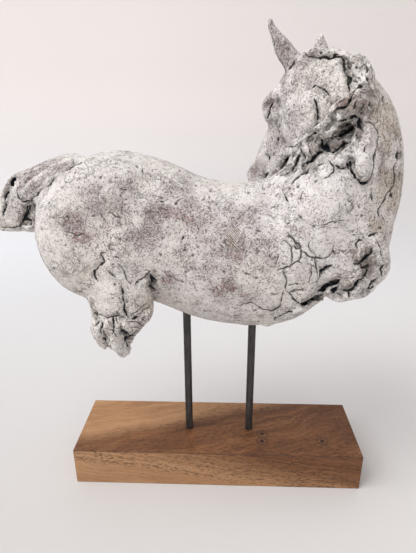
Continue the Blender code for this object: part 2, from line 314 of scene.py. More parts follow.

# The paler outside of the tree shows at the top's back left and along the left of the front. On the
# top, the darker heartwood is also painted shadow, where the horse's soft shadow falls.
height, depth_back = along((0, 0, 1)), along((0, 1, 0))
front_face = rise(
    tree,
    height,
    low=block_high.z - FRONT_ENDS[0],
    high=block_high.z - FRONT_ENDS[1],
    to_low=1.0,
    to_high=0.0,
)
toward_heart = reckon(tree, "ADD", ring_way, reckon(tree, "MULTIPLY", rings, EDGE_WAVER))
slant = reckon(tree, "MULTIPLY", depth_back, EDGE_SLANT_ON_TOP)
on_top = reckon(tree, "SUBTRACT", toward_heart, slant)
slant = reckon(tree, "MULTIPLY", along((1, 0, 0)), EDGE_SLANT_ON_FRONT)
on_front = reckon(tree, "ADD", toward_heart, slant)
top_heart_and_shadow = rise(tree, on_top, low=0.027, high=0.038)
front_share = rise(tree, on_front, low=0.027, high=0.068)
sockets = {0: front_face, 2: top_heart_and_shadow, 3: front_share}
heart_and_shadow = put(tree, "ShaderNodeMix", sockets).outputs[0]
wood = blend_colour(tree, heart_and_shadow, ramp(tree, grain, SAPWOOD), ramp(tree, grain, HEARTWOOD))

# The open pores lie in rows along the rings, close in the heartwood and few outside it.
pores = grained(lengthwise=190.0, sideways=800.0, per_metre=950.0, detail=1.0)
pore_rows = rise(
    tree,
    grained(lengthwise=6.0, sideways=30.0, per_metre=260.0, distortion=0.4),
    low=0.40,
    high=0.60,
    to_low=0.06,
    to_high=-0.04,
)
pores = rise(tree, reckon(tree, "SUBTRACT", pores, pore_rows), low=0.52, high=0.60)
more_pores = reckon(tree, "MULTIPLY", front_face, MORE_PORES_ON_FRONT)
toward_pores = reckon(tree, "ADD", toward_heart, more_pores)
pore_share = reckon(
    tree,
    "MULTIPLY",
    pores,
    rise(tree, toward_pores, low=0.027, high=0.036, to_low=0.08, to_high=0.62),
)
wood = blend_colour(tree, pore_share, wood, PORE)

# Each knot on the top is a dark spot with a ring of bark round it.
for across, back in KNOTS:
    sockets = {0: where, 1: (across, back, block_high.z)}
    away = put(tree, "ShaderNodeVectorMath", sockets, operation="DISTANCE").outputs["Value"]
    ragged = reckon(tree, "ADD", away, reckon(tree, "MULTIPLY", fibres, KNOT_RAGGEDNESS))
    wood = blend_colour(
        tree, rise(tree, ragged, low=0.0024, high=0.0040, to_low=1.0, to_high=0.0), wood, KNOT
    )
    outside_knot = rise(tree, away, low=0.0040, high=0.0050)
    inside_bark = rise(tree, away, low=0.0056, high=0.0072, to_low=0.55, to_high=0.0)
    bark_share = reckon(tree, "MULTIPLY", outside_knot, inside_bark)
    wood = blend_colour(tree, bark_share, wood, KNOT_BARK)

# Oil and the dirt of hands darken the long front arris.
near_top = rise(
    tree,
    height,
    low=block_high.z - ARRIS_BELOW_TOP[0],
    high=block_high.z - ARRIS_BELOW_TOP[1],
)
near_front = rise(
    tree,
    depth_back,
    low=block_low.y + ARRIS_BEHIND_FRONT[0],
    high=block_low.y + ARRIS_BEHIND_FRONT[1],
    to_low=1.0,
    to_high=0.0,
)
arris = reckon(tree, "MULTIPLY", near_top, near_front)
wood = blend_colour(tree, reckon(tree, "MULTIPLY", arris, HAND_DIRT_SHARE), wood, HAND_DIRT)
tree.links.new(wood, shader.inputs["Base Color"])
shader.inputs["Specular IOR Level"].default_value = 0.3
fibre_roughness = reckon(tree, "MULTIPLY", fibres, FIBRE_ROUGHNESS)
oak_roughness = reckon(tree, "ADD", fibre_roughness, OAK_ROUGHNESS)
tree.links.new(oak_roughness, shader.inputs["Roughness"])
oak_height = reckon(tree, "SUBTRACT", reckon(tree, "MULTIPLY", fibres, FIBRE_HEIGHT), pore_share)
bump = put(tree, "ShaderNodeBump", {"Strength": 0.5, "Distance": 0.0003, "Height": oak_height})
tree.links.new(bump.outputs["Normal"], shader.inputs["Normal"])

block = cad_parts["oak_block"]
block.data.materials.clear()
block.data.materials.append(oak)


# The two rods: round steel bar of 8 mm, blackened by heat, let into the block and the belly. Each
# is swept along its length, with the slight dents and the scale of a worked bar.
ROD_ACROSS, ROD_SIDES, ROD_STEPS = 0.008, 32, 120
DENTS_PER_METRE, DENT_DEPTH, DENT_MIDDLE = 130.0, 0.0003, 0.62
STEEL_TONES = (
    (0.3, (0.030, 0.029, 0.030)),
    (0.55, (0.055, 0.053, 0.053)),
    (0.75, (0.095, 0.091, 0.090)),
)
RUST, RUST_SHARE = (0.075, 0.050, 0.040, 1), 0.35


def new_tree(name, kind, inputs, outputs):
    """An empty node tree with named sockets, its input sockets and its output sockets."""
    made = bpy.data.node_groups.new(name, kind)
    for way, sockets in (("INPUT", inputs), ("OUTPUT", outputs)):
        for socket, socket_kind in sockets.items():
            made.interface.new_socket(socket, in_out=way, socket_type="NodeSocket" + socket_kind)
    return made, put(made, "NodeGroupInput").outputs, put(made, "NodeGroupOutput").inputs


bar_maker, given, result = new_tree(
    "worked_bar",
    "GeometryNodeTree",
    {"Foot": "Vector", "Head": "Vector", "Across": "Float", "Dents": "Float", "Finish": "Material"},
    {"Bar": "Geometry"},
)
line = put(bar_maker, "GeometryNodeCurvePrimitiveLine", {"Start": given["Foot"], "End": given["Head"]})
line = put(bar_maker, "GeometryNodeResampleCurve", {"Curve": line.outputs["Curve"], "Count": ROD_STEPS})
half_across = reckon(bar_maker, "MULTIPLY", given["Across"], 0.5)
sockets = {"Resolution": ROD_SIDES, "Radius": half_across}
ring = put(bar_maker, "GeometryNodeCurvePrimitiveCircle", sockets)
sockets = {"Curve": line.outputs["Curve"], "Profile Curve": ring.outputs["Curve"], "Fill Caps": True}
bar = put(bar_maker, "GeometryNodeCurveToMesh", sockets)
dent = cloudy(bar_maker, put(bar_maker, "GeometryNodeInputPosition").outputs[0], scale=DENTS_PER_METRE)
dent = reckon(bar_maker, "SUBTRACT", dent, DENT_MIDDLE)
dent = reckon(bar_maker, "MULTIPLY", dent, given["Dents"])


def outwards(tree, amount):
    """A step of some size along the surface's normal."""
    sockets = {0: put(tree, "GeometryNodeInputNormal").outputs[0], "Scale": amount}
    return put(tree, "ShaderNodeVectorMath", sockets, operation="SCALE").outputs[0]


def finished(tree, form, offset, finish):
    """The form with its surface moved, made smooth and real, and given its material."""
    form = put(tree, "GeometryNodeSetPosition", {"Geometry": form, "Offset": offset}).outputs[0]
    form = put(tree, "GeometryNodeSetShadeSmooth", {"Geometry": form}).outputs[0]
    form = put(tree, "GeometryNodeRealizeInstances", {"Geometry": form}).outputs[0]
    return put(tree, "GeometryNodeSetMaterial", {"Geometry": form, "Material": finish}).outputs[0]


bar = finished(bar_maker, bar.outputs["Mesh"], outwards(bar_maker, dent), given["Finish"])
bar_maker.links.new(bar, result["Bar"])


def made_by(maker, name, values, base=None):
    """The plain mesh that a geometry tree makes from its inputs' values."""
    holder = bpy.data.objects.new(name, base or bpy.data.meshes.new(name))
    bpy.context.scene.collection.objects.link(holder)
    step = holder.modifiers.new("Maker", "NODES")
    step.node_group = maker
    made_of = maker.interface.items_tree
    sockets = {item.name: item.identifier for item in made_of if item.in_out == "INPUT"}
    for socket, value in values.items():
        step[sockets[socket]] = value
    graph = bpy.context.evaluated_depsgraph_get()
    mesh = bpy.data.meshes.new_from_object(holder.evaluated_get(graph))
    bpy.data.objects.remove(holder, do_unlink=True)
    mesh.name = name
    return mesh


# Small dark specks: rust on the steel, and iron spots and pits in the clay.
specks, given, result = new_tree(
    "specks",
    "ShaderNodeTree",
    {"Where": "Vector", "Per metre": "Float", "Cover": "Float", "Softness": "Float"},
    {"Mask": "Float"},
)
speck_noise = rise(
    specks,
    cloudy(specks, given["Where"], scale=given["Per metre"], detail=1.0),
    low=0.2,
    high=0.8,
)
speck_edge = reckon(specks, "SUBTRACT", 1.0, given["Cover"])
sockets = {
    "Value": speck_noise,
    "From Min": reckon(specks, "SUBTRACT", speck_edge, given["Softness"]),
    "From Max": reckon(specks, "ADD", speck_edge, given["Softness"]),
}
speck_mask = put(specks, "ShaderNodeMapRange", sockets).outputs["Result"]
specks.links.new(speck_mask, result["Mask"])


def speckled(tree, where, per_metre, cover, softness):
    """Where the specks lie: so many to the metre, and with a share of the surface covered."""
    sockets = {"Where": where, "Per metre": per_metre, "Cover": cover, "Softness": softness}
    return put(tree, "ShaderNodeGroup", sockets, node_tree=specks).outputs["Mask"]


steel, tree, shader = new_material("blackened_steel")
where = put(tree, "ShaderNodeTexCoord").outputs["Object"]
drawn_out = put(tree, "ShaderNodeMapping", {"Vector": where, "Scale": (1, 1, 0.25)}).outputs["Vector"]
scale = cloudy(tree, drawn_out, scale=260.0, detail=4.0, roughness=0.65)
rust_here = reckon(
    tree,
    "MULTIPLY",
    speckled(tree, where, per_metre=700.0, cover=0.22, softness=0.1),
    RUST_SHARE,
)
skin = blend_colour(tree, rust_here, ramp(tree, scale, STEEL_TONES), RUST)
tree.links.new(skin, shader.inputs["Base Color"])
shader.inputs["Metallic"].default_value = 0.55
tree.links.new(
    rise(tree, scale, low=0.3, high=0.7, to_low=0.34, to_high=0.52), shader.inputs["Roughness"]
)
bump = put(tree, "ShaderNodeBump", {"Strength": 0.4, "Distance": 0.0002, "Height": scale})
tree.links.new(bump.outputs["Normal"], shader.inputs["Normal"])

for name in ("rear_rod", "front_rod"):
    low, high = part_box(name)
    middle = (low + high) / 2
    foot, head = (middle.x, middle.y, low.z), (middle.x, middle.y, high.z)
    sizes = {"Foot": foot, "Head": head, "Across": ROD_ACROSS, "Dents": DENT_DEPTH, "Finish": steel}
    rod = add_piece(name + "_bar", made_by(bar_maker, name + "_bar", sizes), steel)
    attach(rod, "root")
    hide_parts(name)


# The horse: grogged stoneware built by hand, torn and pressed, with a rubbed white slip. It is one
# body. Its main forms come from the CAD; the mane, folds and torn edges are added as coils and
# pellets of clay, all pressed into one skin, and then the cracks are cut into it.
MM = 0.001
FORM_GRAIN, FORM_PASSES = 0.002, 4
CLAY_GRAIN, CLAY_PASSES = 0.00115, 1
SAME_CORNER = 1e-6

horse_form = bmesh.new()
horse_form.from_mesh(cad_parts["horse"].data)
bmesh.ops.remove_doubles(horse_form, verts=horse_form.verts, dist=SAME_CORNER)


def leave_largest(mesh):
    """Takes out every loose crumb, so that the largest closed skin stays alone."""
    edges = np.empty(len(mesh.edges) * 2, int)
    mesh.edges.foreach_get("vertices", edges)
    starts, ends = edges.reshape(-1, 2).T
    skin_of = np.arange(len(mesh.vertices))
    while (skin_of[starts] != skin_of[ends]).any():
        np.minimum.at(skin_of, starts, skin_of[ends])
        np.minimum.at(skin_of, ends, skin_of[starts])
        skin_of = skin_of[skin_of]
    largest = np.bincount(skin_of).argmax()
    form = bmesh.new()
    form.from_mesh(mesh)
    form.verts.ensure_lookup_table()
    loose = [form.verts[corner] for corner in np.nonzero(skin_of != largest)[0]]
    bmesh.ops.delete(form, geom=loose, context="VERTS")
    form.to_mesh(mesh)
    form.free()


def pressed(form, grain, passes):
    """The form as one closed skin of small faces, its edges softened as by a wet hand."""
    mesh = bpy.data.meshes.new("clay")
    form.to_mesh(mesh)
    form.free()
    holder = bpy.data.objects.new("clay", mesh)
    bpy.context.scene.collection.objects.link(holder)
    skin = holder.modifiers.new("One skin", "REMESH")
    skin.mode = "VOXEL"
    skin.voxel_size = grain
    hand = holder.modifiers.new("Wet hand", "SMOOTH")
    hand.factor = 0.5
    hand.iterations = passes
    graph = bpy.context.evaluated_depsgraph_get()
    mesh = bpy.data.meshes.new_from_object(holder.evaluated_get(graph))
    bpy.data.objects.remove(holder, do_unlink=True)
    leave_largest(mesh)
    return mesh


def corners_of(mesh):
    """Where the mesh's corners are."""
    flat = np.empty(len(mesh.vertices) * 3)
    mesh.vertices.foreach_get("co", flat)
    return flat.reshape(-1, 3)


def normals_of(mesh):
    """Which way the skin faces at the mesh's corners."""
    flat = np.empty(len(mesh.vertices) * 3, np.float32)
    mesh.vertex_normals.foreach_get("vector", flat)
    return flat.reshape(-1, 3).astype(float)


def faces_of(mesh):
    """The corners and faces that a search tree is built from."""
    return corners_of(mesh).tolist(), [tuple(face.vertices) for face in mesh.polygons]


def sight_line(across, down):
    """The direction from the camera through a pixel, of length 1 along the camera's axis."""
    return LOOK @ Vector(((across - FRAME_WIDE / 2) / LENS_PX, (FRAME_HIGH / 2 - down) / LENS_PX, -1))


def pixels_of(points):
    """Where points are seen in the frame, in pixels, and how deep they lie before the camera."""
    seen = (np.asarray(points) - np.array(EYE)) @ np.array(LOOK)
    deep = -seen[:, 2]
    across = FRAME_WIDE / 2 + LENS_PX * seen[:, 0] / deep
    down = FRAME_HIGH / 2 - LENS_PX * seen[:, 1] / deep
    return np.stack([across, down], 1), deep


# How deep before the camera the horse stands, in steps, for the pixels just outside its outline.
HORSE_DEPTHS = [0.28 + 0.004 * step for step in range(80)]


def on_horse(across, down):
    """The point of the horse seen at a pixel, or else the sight line's nearest point to it."""
    sight = sight_line(across, down)
    hit = horse_seen.ray_cast(EYE, sight.normalized())[0]
    if hit is not None:
        return hit
    spots = [EYE + sight * depth for depth in HORSE_DEPTHS]
    return min(spots, key=lambda spot: horse_seen.find_nearest(spot)[3])


# Pushes of the hand that finish the outline: (pixel, reach, push to the right, push upwards), the
# last three in millimetres.
PUSHES = (
    ((392, 100), 32, 2.6, 1.2),
    ((400, 150), 34, 2.6, 0.4),
    ((400, 195), 34, 2.6, 0.0),
    ((394, 230), 26, 1.8, 0.0),
    ((262, 104), 12, -1.4, 0.0),
    ((280, 69), 7, 4.4, 0.0),
    ((277, 58), 8, 1.6, 0.0),
    ((56, 163), 15, 0.0, 3.0),
    ((77, 160), 13, 0.0, 5.0),
    ((15, 177), 11, -0.6, 2.6),
    ((303, 303), 13, 0.6, -4.4),
    ((288, 312), 10, 0.0, -1.6),
    ((160, 301), 18, 0.0, 5.0),
    ((155, 297), 8, 0.0, 2.0),
    ((97, 306), 10, -4.2, 0.0),
    ((92, 300), 8, -2.0, 0.0),
)
smooth_horse = pressed(horse_form, FORM_GRAIN, FORM_PASSES)
horse_seen = BVHTree.FromPolygons(*faces_of(smooth_horse))
places = corners_of(smooth_horse)
for pixel, reach, right, up in PUSHES:
    share = np.exp(-np.square((places - on_horse(*pixel)) / (reach * MM)).sum(1))
    places = places + share[:, None] * np.array(LOOK @ Vector((right, up, 0))) * MM
smooth_horse.vertices.foreach_set("co", places.ravel())
horse_seen = BVHTree.FromPolygons(*faces_of(smooth_horse))


# One pellet of clay, which every coil is made of.
pellet_form = bmesh.new()
bmesh.ops.create_icosphere(pellet_form, subdivisions=2, radius=1.0)
pellet_corners = np.array([corner.co[:] for corner in pellet_form.verts])
pellet_faces = np.array([[corner.index for corner in face.verts] for face in pellet_form.faces])
pellet_form.free()
coil_corners, coil_faces = [], []
PELLETS_A_SPAN = 5
THIN_END, THICK_MIDDLE = 0.55, 0.45


def roll(path, width_mm, lift_mm, flat):
    """A coil of clay laid on the horse along a path of pixels, thinner towards its ends."""
    places = np.array([on_horse(across, down)[:] for across, down in path])
    fine = [places[0]]
    ends = np.vstack([2 * places[0] - places[1], places, 2 * places[-1] - places[-2]])
    # A smooth curve through the points, from one to the next.
    for before, start, end, after in zip(ends, ends[1:], ends[2:], ends[3:]):
        for t in np.arange(1, PELLETS_A_SPAN + 1) / PELLETS_A_SPAN:
            bend = 2 * before - 5 * start + 4 * end - after
            twist = 3 * start - 3 * end + after - before
            fine.append(start + 0.5 * t * ((end - before) + t * (bend + t * twist)))
    swell = THIN_END + THICK_MIDDLE * np.sin(math.pi * np.linspace(0, 1, len(fine)))
    for place, share in zip(fine, swell):
        # Where the path leaps from one part of the horse to another, no clay hangs in the air.
        if horse_seen.find_nearest(Vector(place))[3] > share * width_mm * MM:
            continue
        toward = (EYE - Vector(place)).normalized()
        turn = np.array(toward.to_track_quat("Z", "Y").to_matrix())
        size = share * width_mm * MM * np.array([1, 1, flat])
        middle = place + np.array(toward) * lift_mm * MM
        coil_faces.append(pellet_faces + len(coil_corners) * len(pellet_corners))
        coil_corners.append(pellet_corners * size @ turn.T + middle)


# Coils and flakes: (half width, lift, flatness, pixels along it), the first two in millimetres.
ROLLS = (
    # The blunt tip and the edges of the near ear, and the far ear.
    (2.0, 0.0, 1.0, [(269.6, 20.5), (270.6, 21)]),
    (2.2, 0.0, 0.9, [(269.6, 22), (270.2, 27), (272, 34)]),
    (3.0, 0.0, 0.8, [(271, 22), (271.5, 26), (273, 32), (276, 40), (280, 50)]),
    (2.6, 0.0, 0.8, [(273, 34), (275, 42), (279, 52), (285, 61)]),
    (2.4, 0.3, 0.7, [(280, 38), (287, 46), (295, 53)]),
    (2.6, 0.0, 0.8, [(320.5, 35), (321, 41), (321, 47)]),
    (2.4, 0.0, 0.8, [(319, 38), (316.5, 44), (315, 49)]),
    (2.6, 0.0, 0.8, [(322, 40), (323.5, 46), (323, 49)]),
    # Over the poll, and the crumbled top of the crest.
    (2.6, 1.4, 1.0, [(303, 54.5), (307, 54), (310, 52)]),
    (2.4, 1.4, 1.0, [(310, 52), (314, 50), (318, 49.5)]),
    (2.8, 1.4, 1.0, [(323, 55), (327, 53), (330, 51)]),
    (2.6, 1.4, 1.0, [(330, 52), (335, 51), (339, 53)]),
    (2.4, 1.4, 1.0, [(338, 54), (343, 55), (348, 56)]),
    (3.6, 0.5, 0.9, [(350, 60), (357, 58), (365, 59)]),
    (3.2, 1.0, 0.9, [(366, 60), (368, 68), (367, 75)]),
    (3.4, 0.5, 0.9, [(355, 65), (356, 72), (359, 78)]),
    (3.0, 0.8, 0.9, [(362, 70), (363, 78), (366, 82)]),
    (2.6, 0.8, 0.9, [(352, 93), (357, 87), (363, 84), (369, 82)]),
    (2.6, 0.5, 0.9, [(352, 98), (358, 93), (365, 89), (370, 88)]),
    # The rolls of the mane that turn in from the crest to the throat.
    (2.0, 0.6, 0.9, [(336, 104), (341, 101), (348, 98)]),
    (2.6, 0.6, 0.9, [(333, 110), (340, 107), (346, 102), (350, 95)]),
    (4.0, 0.5, 0.8, [(337, 117), (345, 113), (351, 107), (357, 101)]),
    (3.0, 0.5, 0.9, [(354, 110), (361, 106), (366, 98)]),
    (2.6, 1.0, 0.9, [(322, 130), (326, 125), (332, 121), (339, 120)]),
    (2.2, 1.0, 0.9, [(330, 133), (336, 129), (342, 125), (348, 122)]),
    (2.6, 1.0, 0.9, [(321, 133), (324, 137), (330, 137), (336, 134)]),
    (2.4, 0.8, 0.8, [(329, 144), (335, 145.5), (342, 142), (349, 137.5)]),
    (2.8, 0.6, 0.9, [(352, 121), (357, 126), (357, 133)]),
    (3.0, 0.8, 0.8, [(356, 133), (354, 141), (347, 147)]),
    (3.4, 0.5, 0.7, [(355, 145), (346, 152), (337, 157)]),
    (3.0, 0.5, 0.7, [(332, 157), (338, 162), (346, 164)]),
    # The locks that hang from the throat over the withers.
    (2.2, 1.7, 1.0, [(313.5, 131), (317, 128.5), (321.5, 127)]),
    (1.6, 1.6, 1.0, [(306, 139), (309, 136), (312, 134)]),
    (2.5, 1.2, 0.9, [(306, 137), (300, 142), (295, 147), (292, 153)]),
    (2.2, 1.2, 0.9, [(293, 151), (291, 158), (288, 165), (283, 171), (278, 173)]),
    (2.0, 1.0, 0.9, [(285, 160), (281.5, 166), (279, 170), (276, 175)]),
    (2.4, 1.4, 0.9, [(300, 148), (298, 155), (295, 162), (291, 169)]),
    (3.6, 1.0, 0.8, [(304, 140), (306, 148), (309, 154)]),
    (2.5, 1.4, 0.9, [(303, 153), (302, 160), (300, 168), (295, 177)]),
    (3.2, 0.6, 0.8, [(315, 142), (316, 147), (316, 150)]),
    (2.6, 1.2, 0.8, [(330, 156), (322, 158), (314, 162), (308, 166)]),
    (2.0, 0.8, 0.8, [(315, 167), (311, 173), (304, 179)]),
    (2.4, 0.8, 0.7, [(327, 160), (332, 166), (331, 172), (325, 177)]),
    # The flap of mane on the neck, with its thick round end.
    (4.6, 0.5, 0.7, [(367, 129), (366, 140), (363, 152)]),
    (5.2, 0.5, 0.7, [(366, 140), (363, 155), (361, 168), (363, 176)]),
    # The tail: the lobe that is folded over it, its rim, and the torn lower edge.
    (3.4, 0.8, 0.6, [(24, 192), (30, 186), (38, 180), (46, 173)]),
    (3.0, 0.6, 0.6, [(20, 187), (26, 178), (36, 171), (48, 166)]),
    (2.4, 0.8, 0.8, [(9, 222), (16, 227), (22, 225)]),
    (2.2, 1.0, 0.9, [(24, 226), (28, 228), (33, 225)]),
    (2.4, 0.4, 0.8, [(8, 187), (11, 180), (17, 174)]),
    # The near thigh's edge, and its torn stump.
    (2.6, 0.0, 0.9, [(90, 303), (93, 309), (94, 315)]),
    (3.2, 0.0, 0.9, [(94, 311), (94.5, 317), (94, 323)]),
    (4.4, 0.0, 0.8, [(96, 318), (97, 327), (98, 336), (102, 342)]),
    (3.4, 0.0, 0.9, [(139, 322), (134, 331), (130, 340), (127, 348)]),
    (3.0, 0.7, 0.8, [(97, 323), (97, 331), (98, 340)]),
    (3.2, 0.7, 0.8, [(107, 320), (107, 327), (108, 333)]),
    (2.3, 0.8, 0.8, [(117.5, 322), (117.5, 327), (118, 331)]),
    (2.5, 0.9, 0.8, [(125, 320), (125, 325), (126.5, 330)]),
    (2.6, 0.7, 0.8, [(134, 326), (132, 331), (130, 334)]),
    (5.6, 0.2, 0.8, [(113, 342), (117, 346), (121, 351)]),
    (3.0, 0.6, 0.8, [(97, 339), (101, 344), (107, 349)]),
    (3.0, 0.6, 0.9, [(149, 310), (146, 316), (140, 320)]),
    (2.6, 0.5, 0.9, [(94, 322), (93, 330), (95, 336)]),
    # The breast's lower folds.
    (3.2, 0.5, 0.7, [(318, 296), (328, 291), (338, 284)]),
    (3.0, 0.8, 0.8, [(288, 315), (298, 309.5), (310, 304), (324, 299)]),
    (4.4, 0.4, 0.7, [(361, 246), (359, 253), (357, 258)]),
    (3.6, 0.4, 0.7, [(345, 284), (353, 279), (360, 272)]),
    (3.4, 0.5, 0.7, [(330, 297), (340, 299), (352, 298)]),
    (2.6, 0.4, 0.9, [(260, 323), (268, 324), (277, 321)]),
    (2.6, 0.6, 0.9, [(281, 319), (288, 316), (296, 311.5)]),
    (3.2, 0.0, 0.9, [(346, 297), (356, 296), (366, 293), (375, 287)]),
    # The jowl's round edge, the lids, and the nostril's rim.
    (1.5, 0.2, 1.0, [(263.5, 108), (265, 103), (270, 99), (275, 99)]),
    (1.3, 0.2, 1.0, [(270.5, 112), (270, 118), (269, 122)]),
)
for width, lift, flat, path in ROLLS:
    roll(path, width, lift, flat)
coils = bpy.data.meshes.new("coils")
coils.from_pydata(np.vstack(coil_corners).tolist(), [], np.vstack(coil_faces).tolist())
horse_form = bmesh.new()
horse_form.from_mesh(smooth_horse)
horse_form.from_mesh(coils)
clay_mesh = pressed(horse_form, CLAY_GRAIN, CLAY_PASSES)

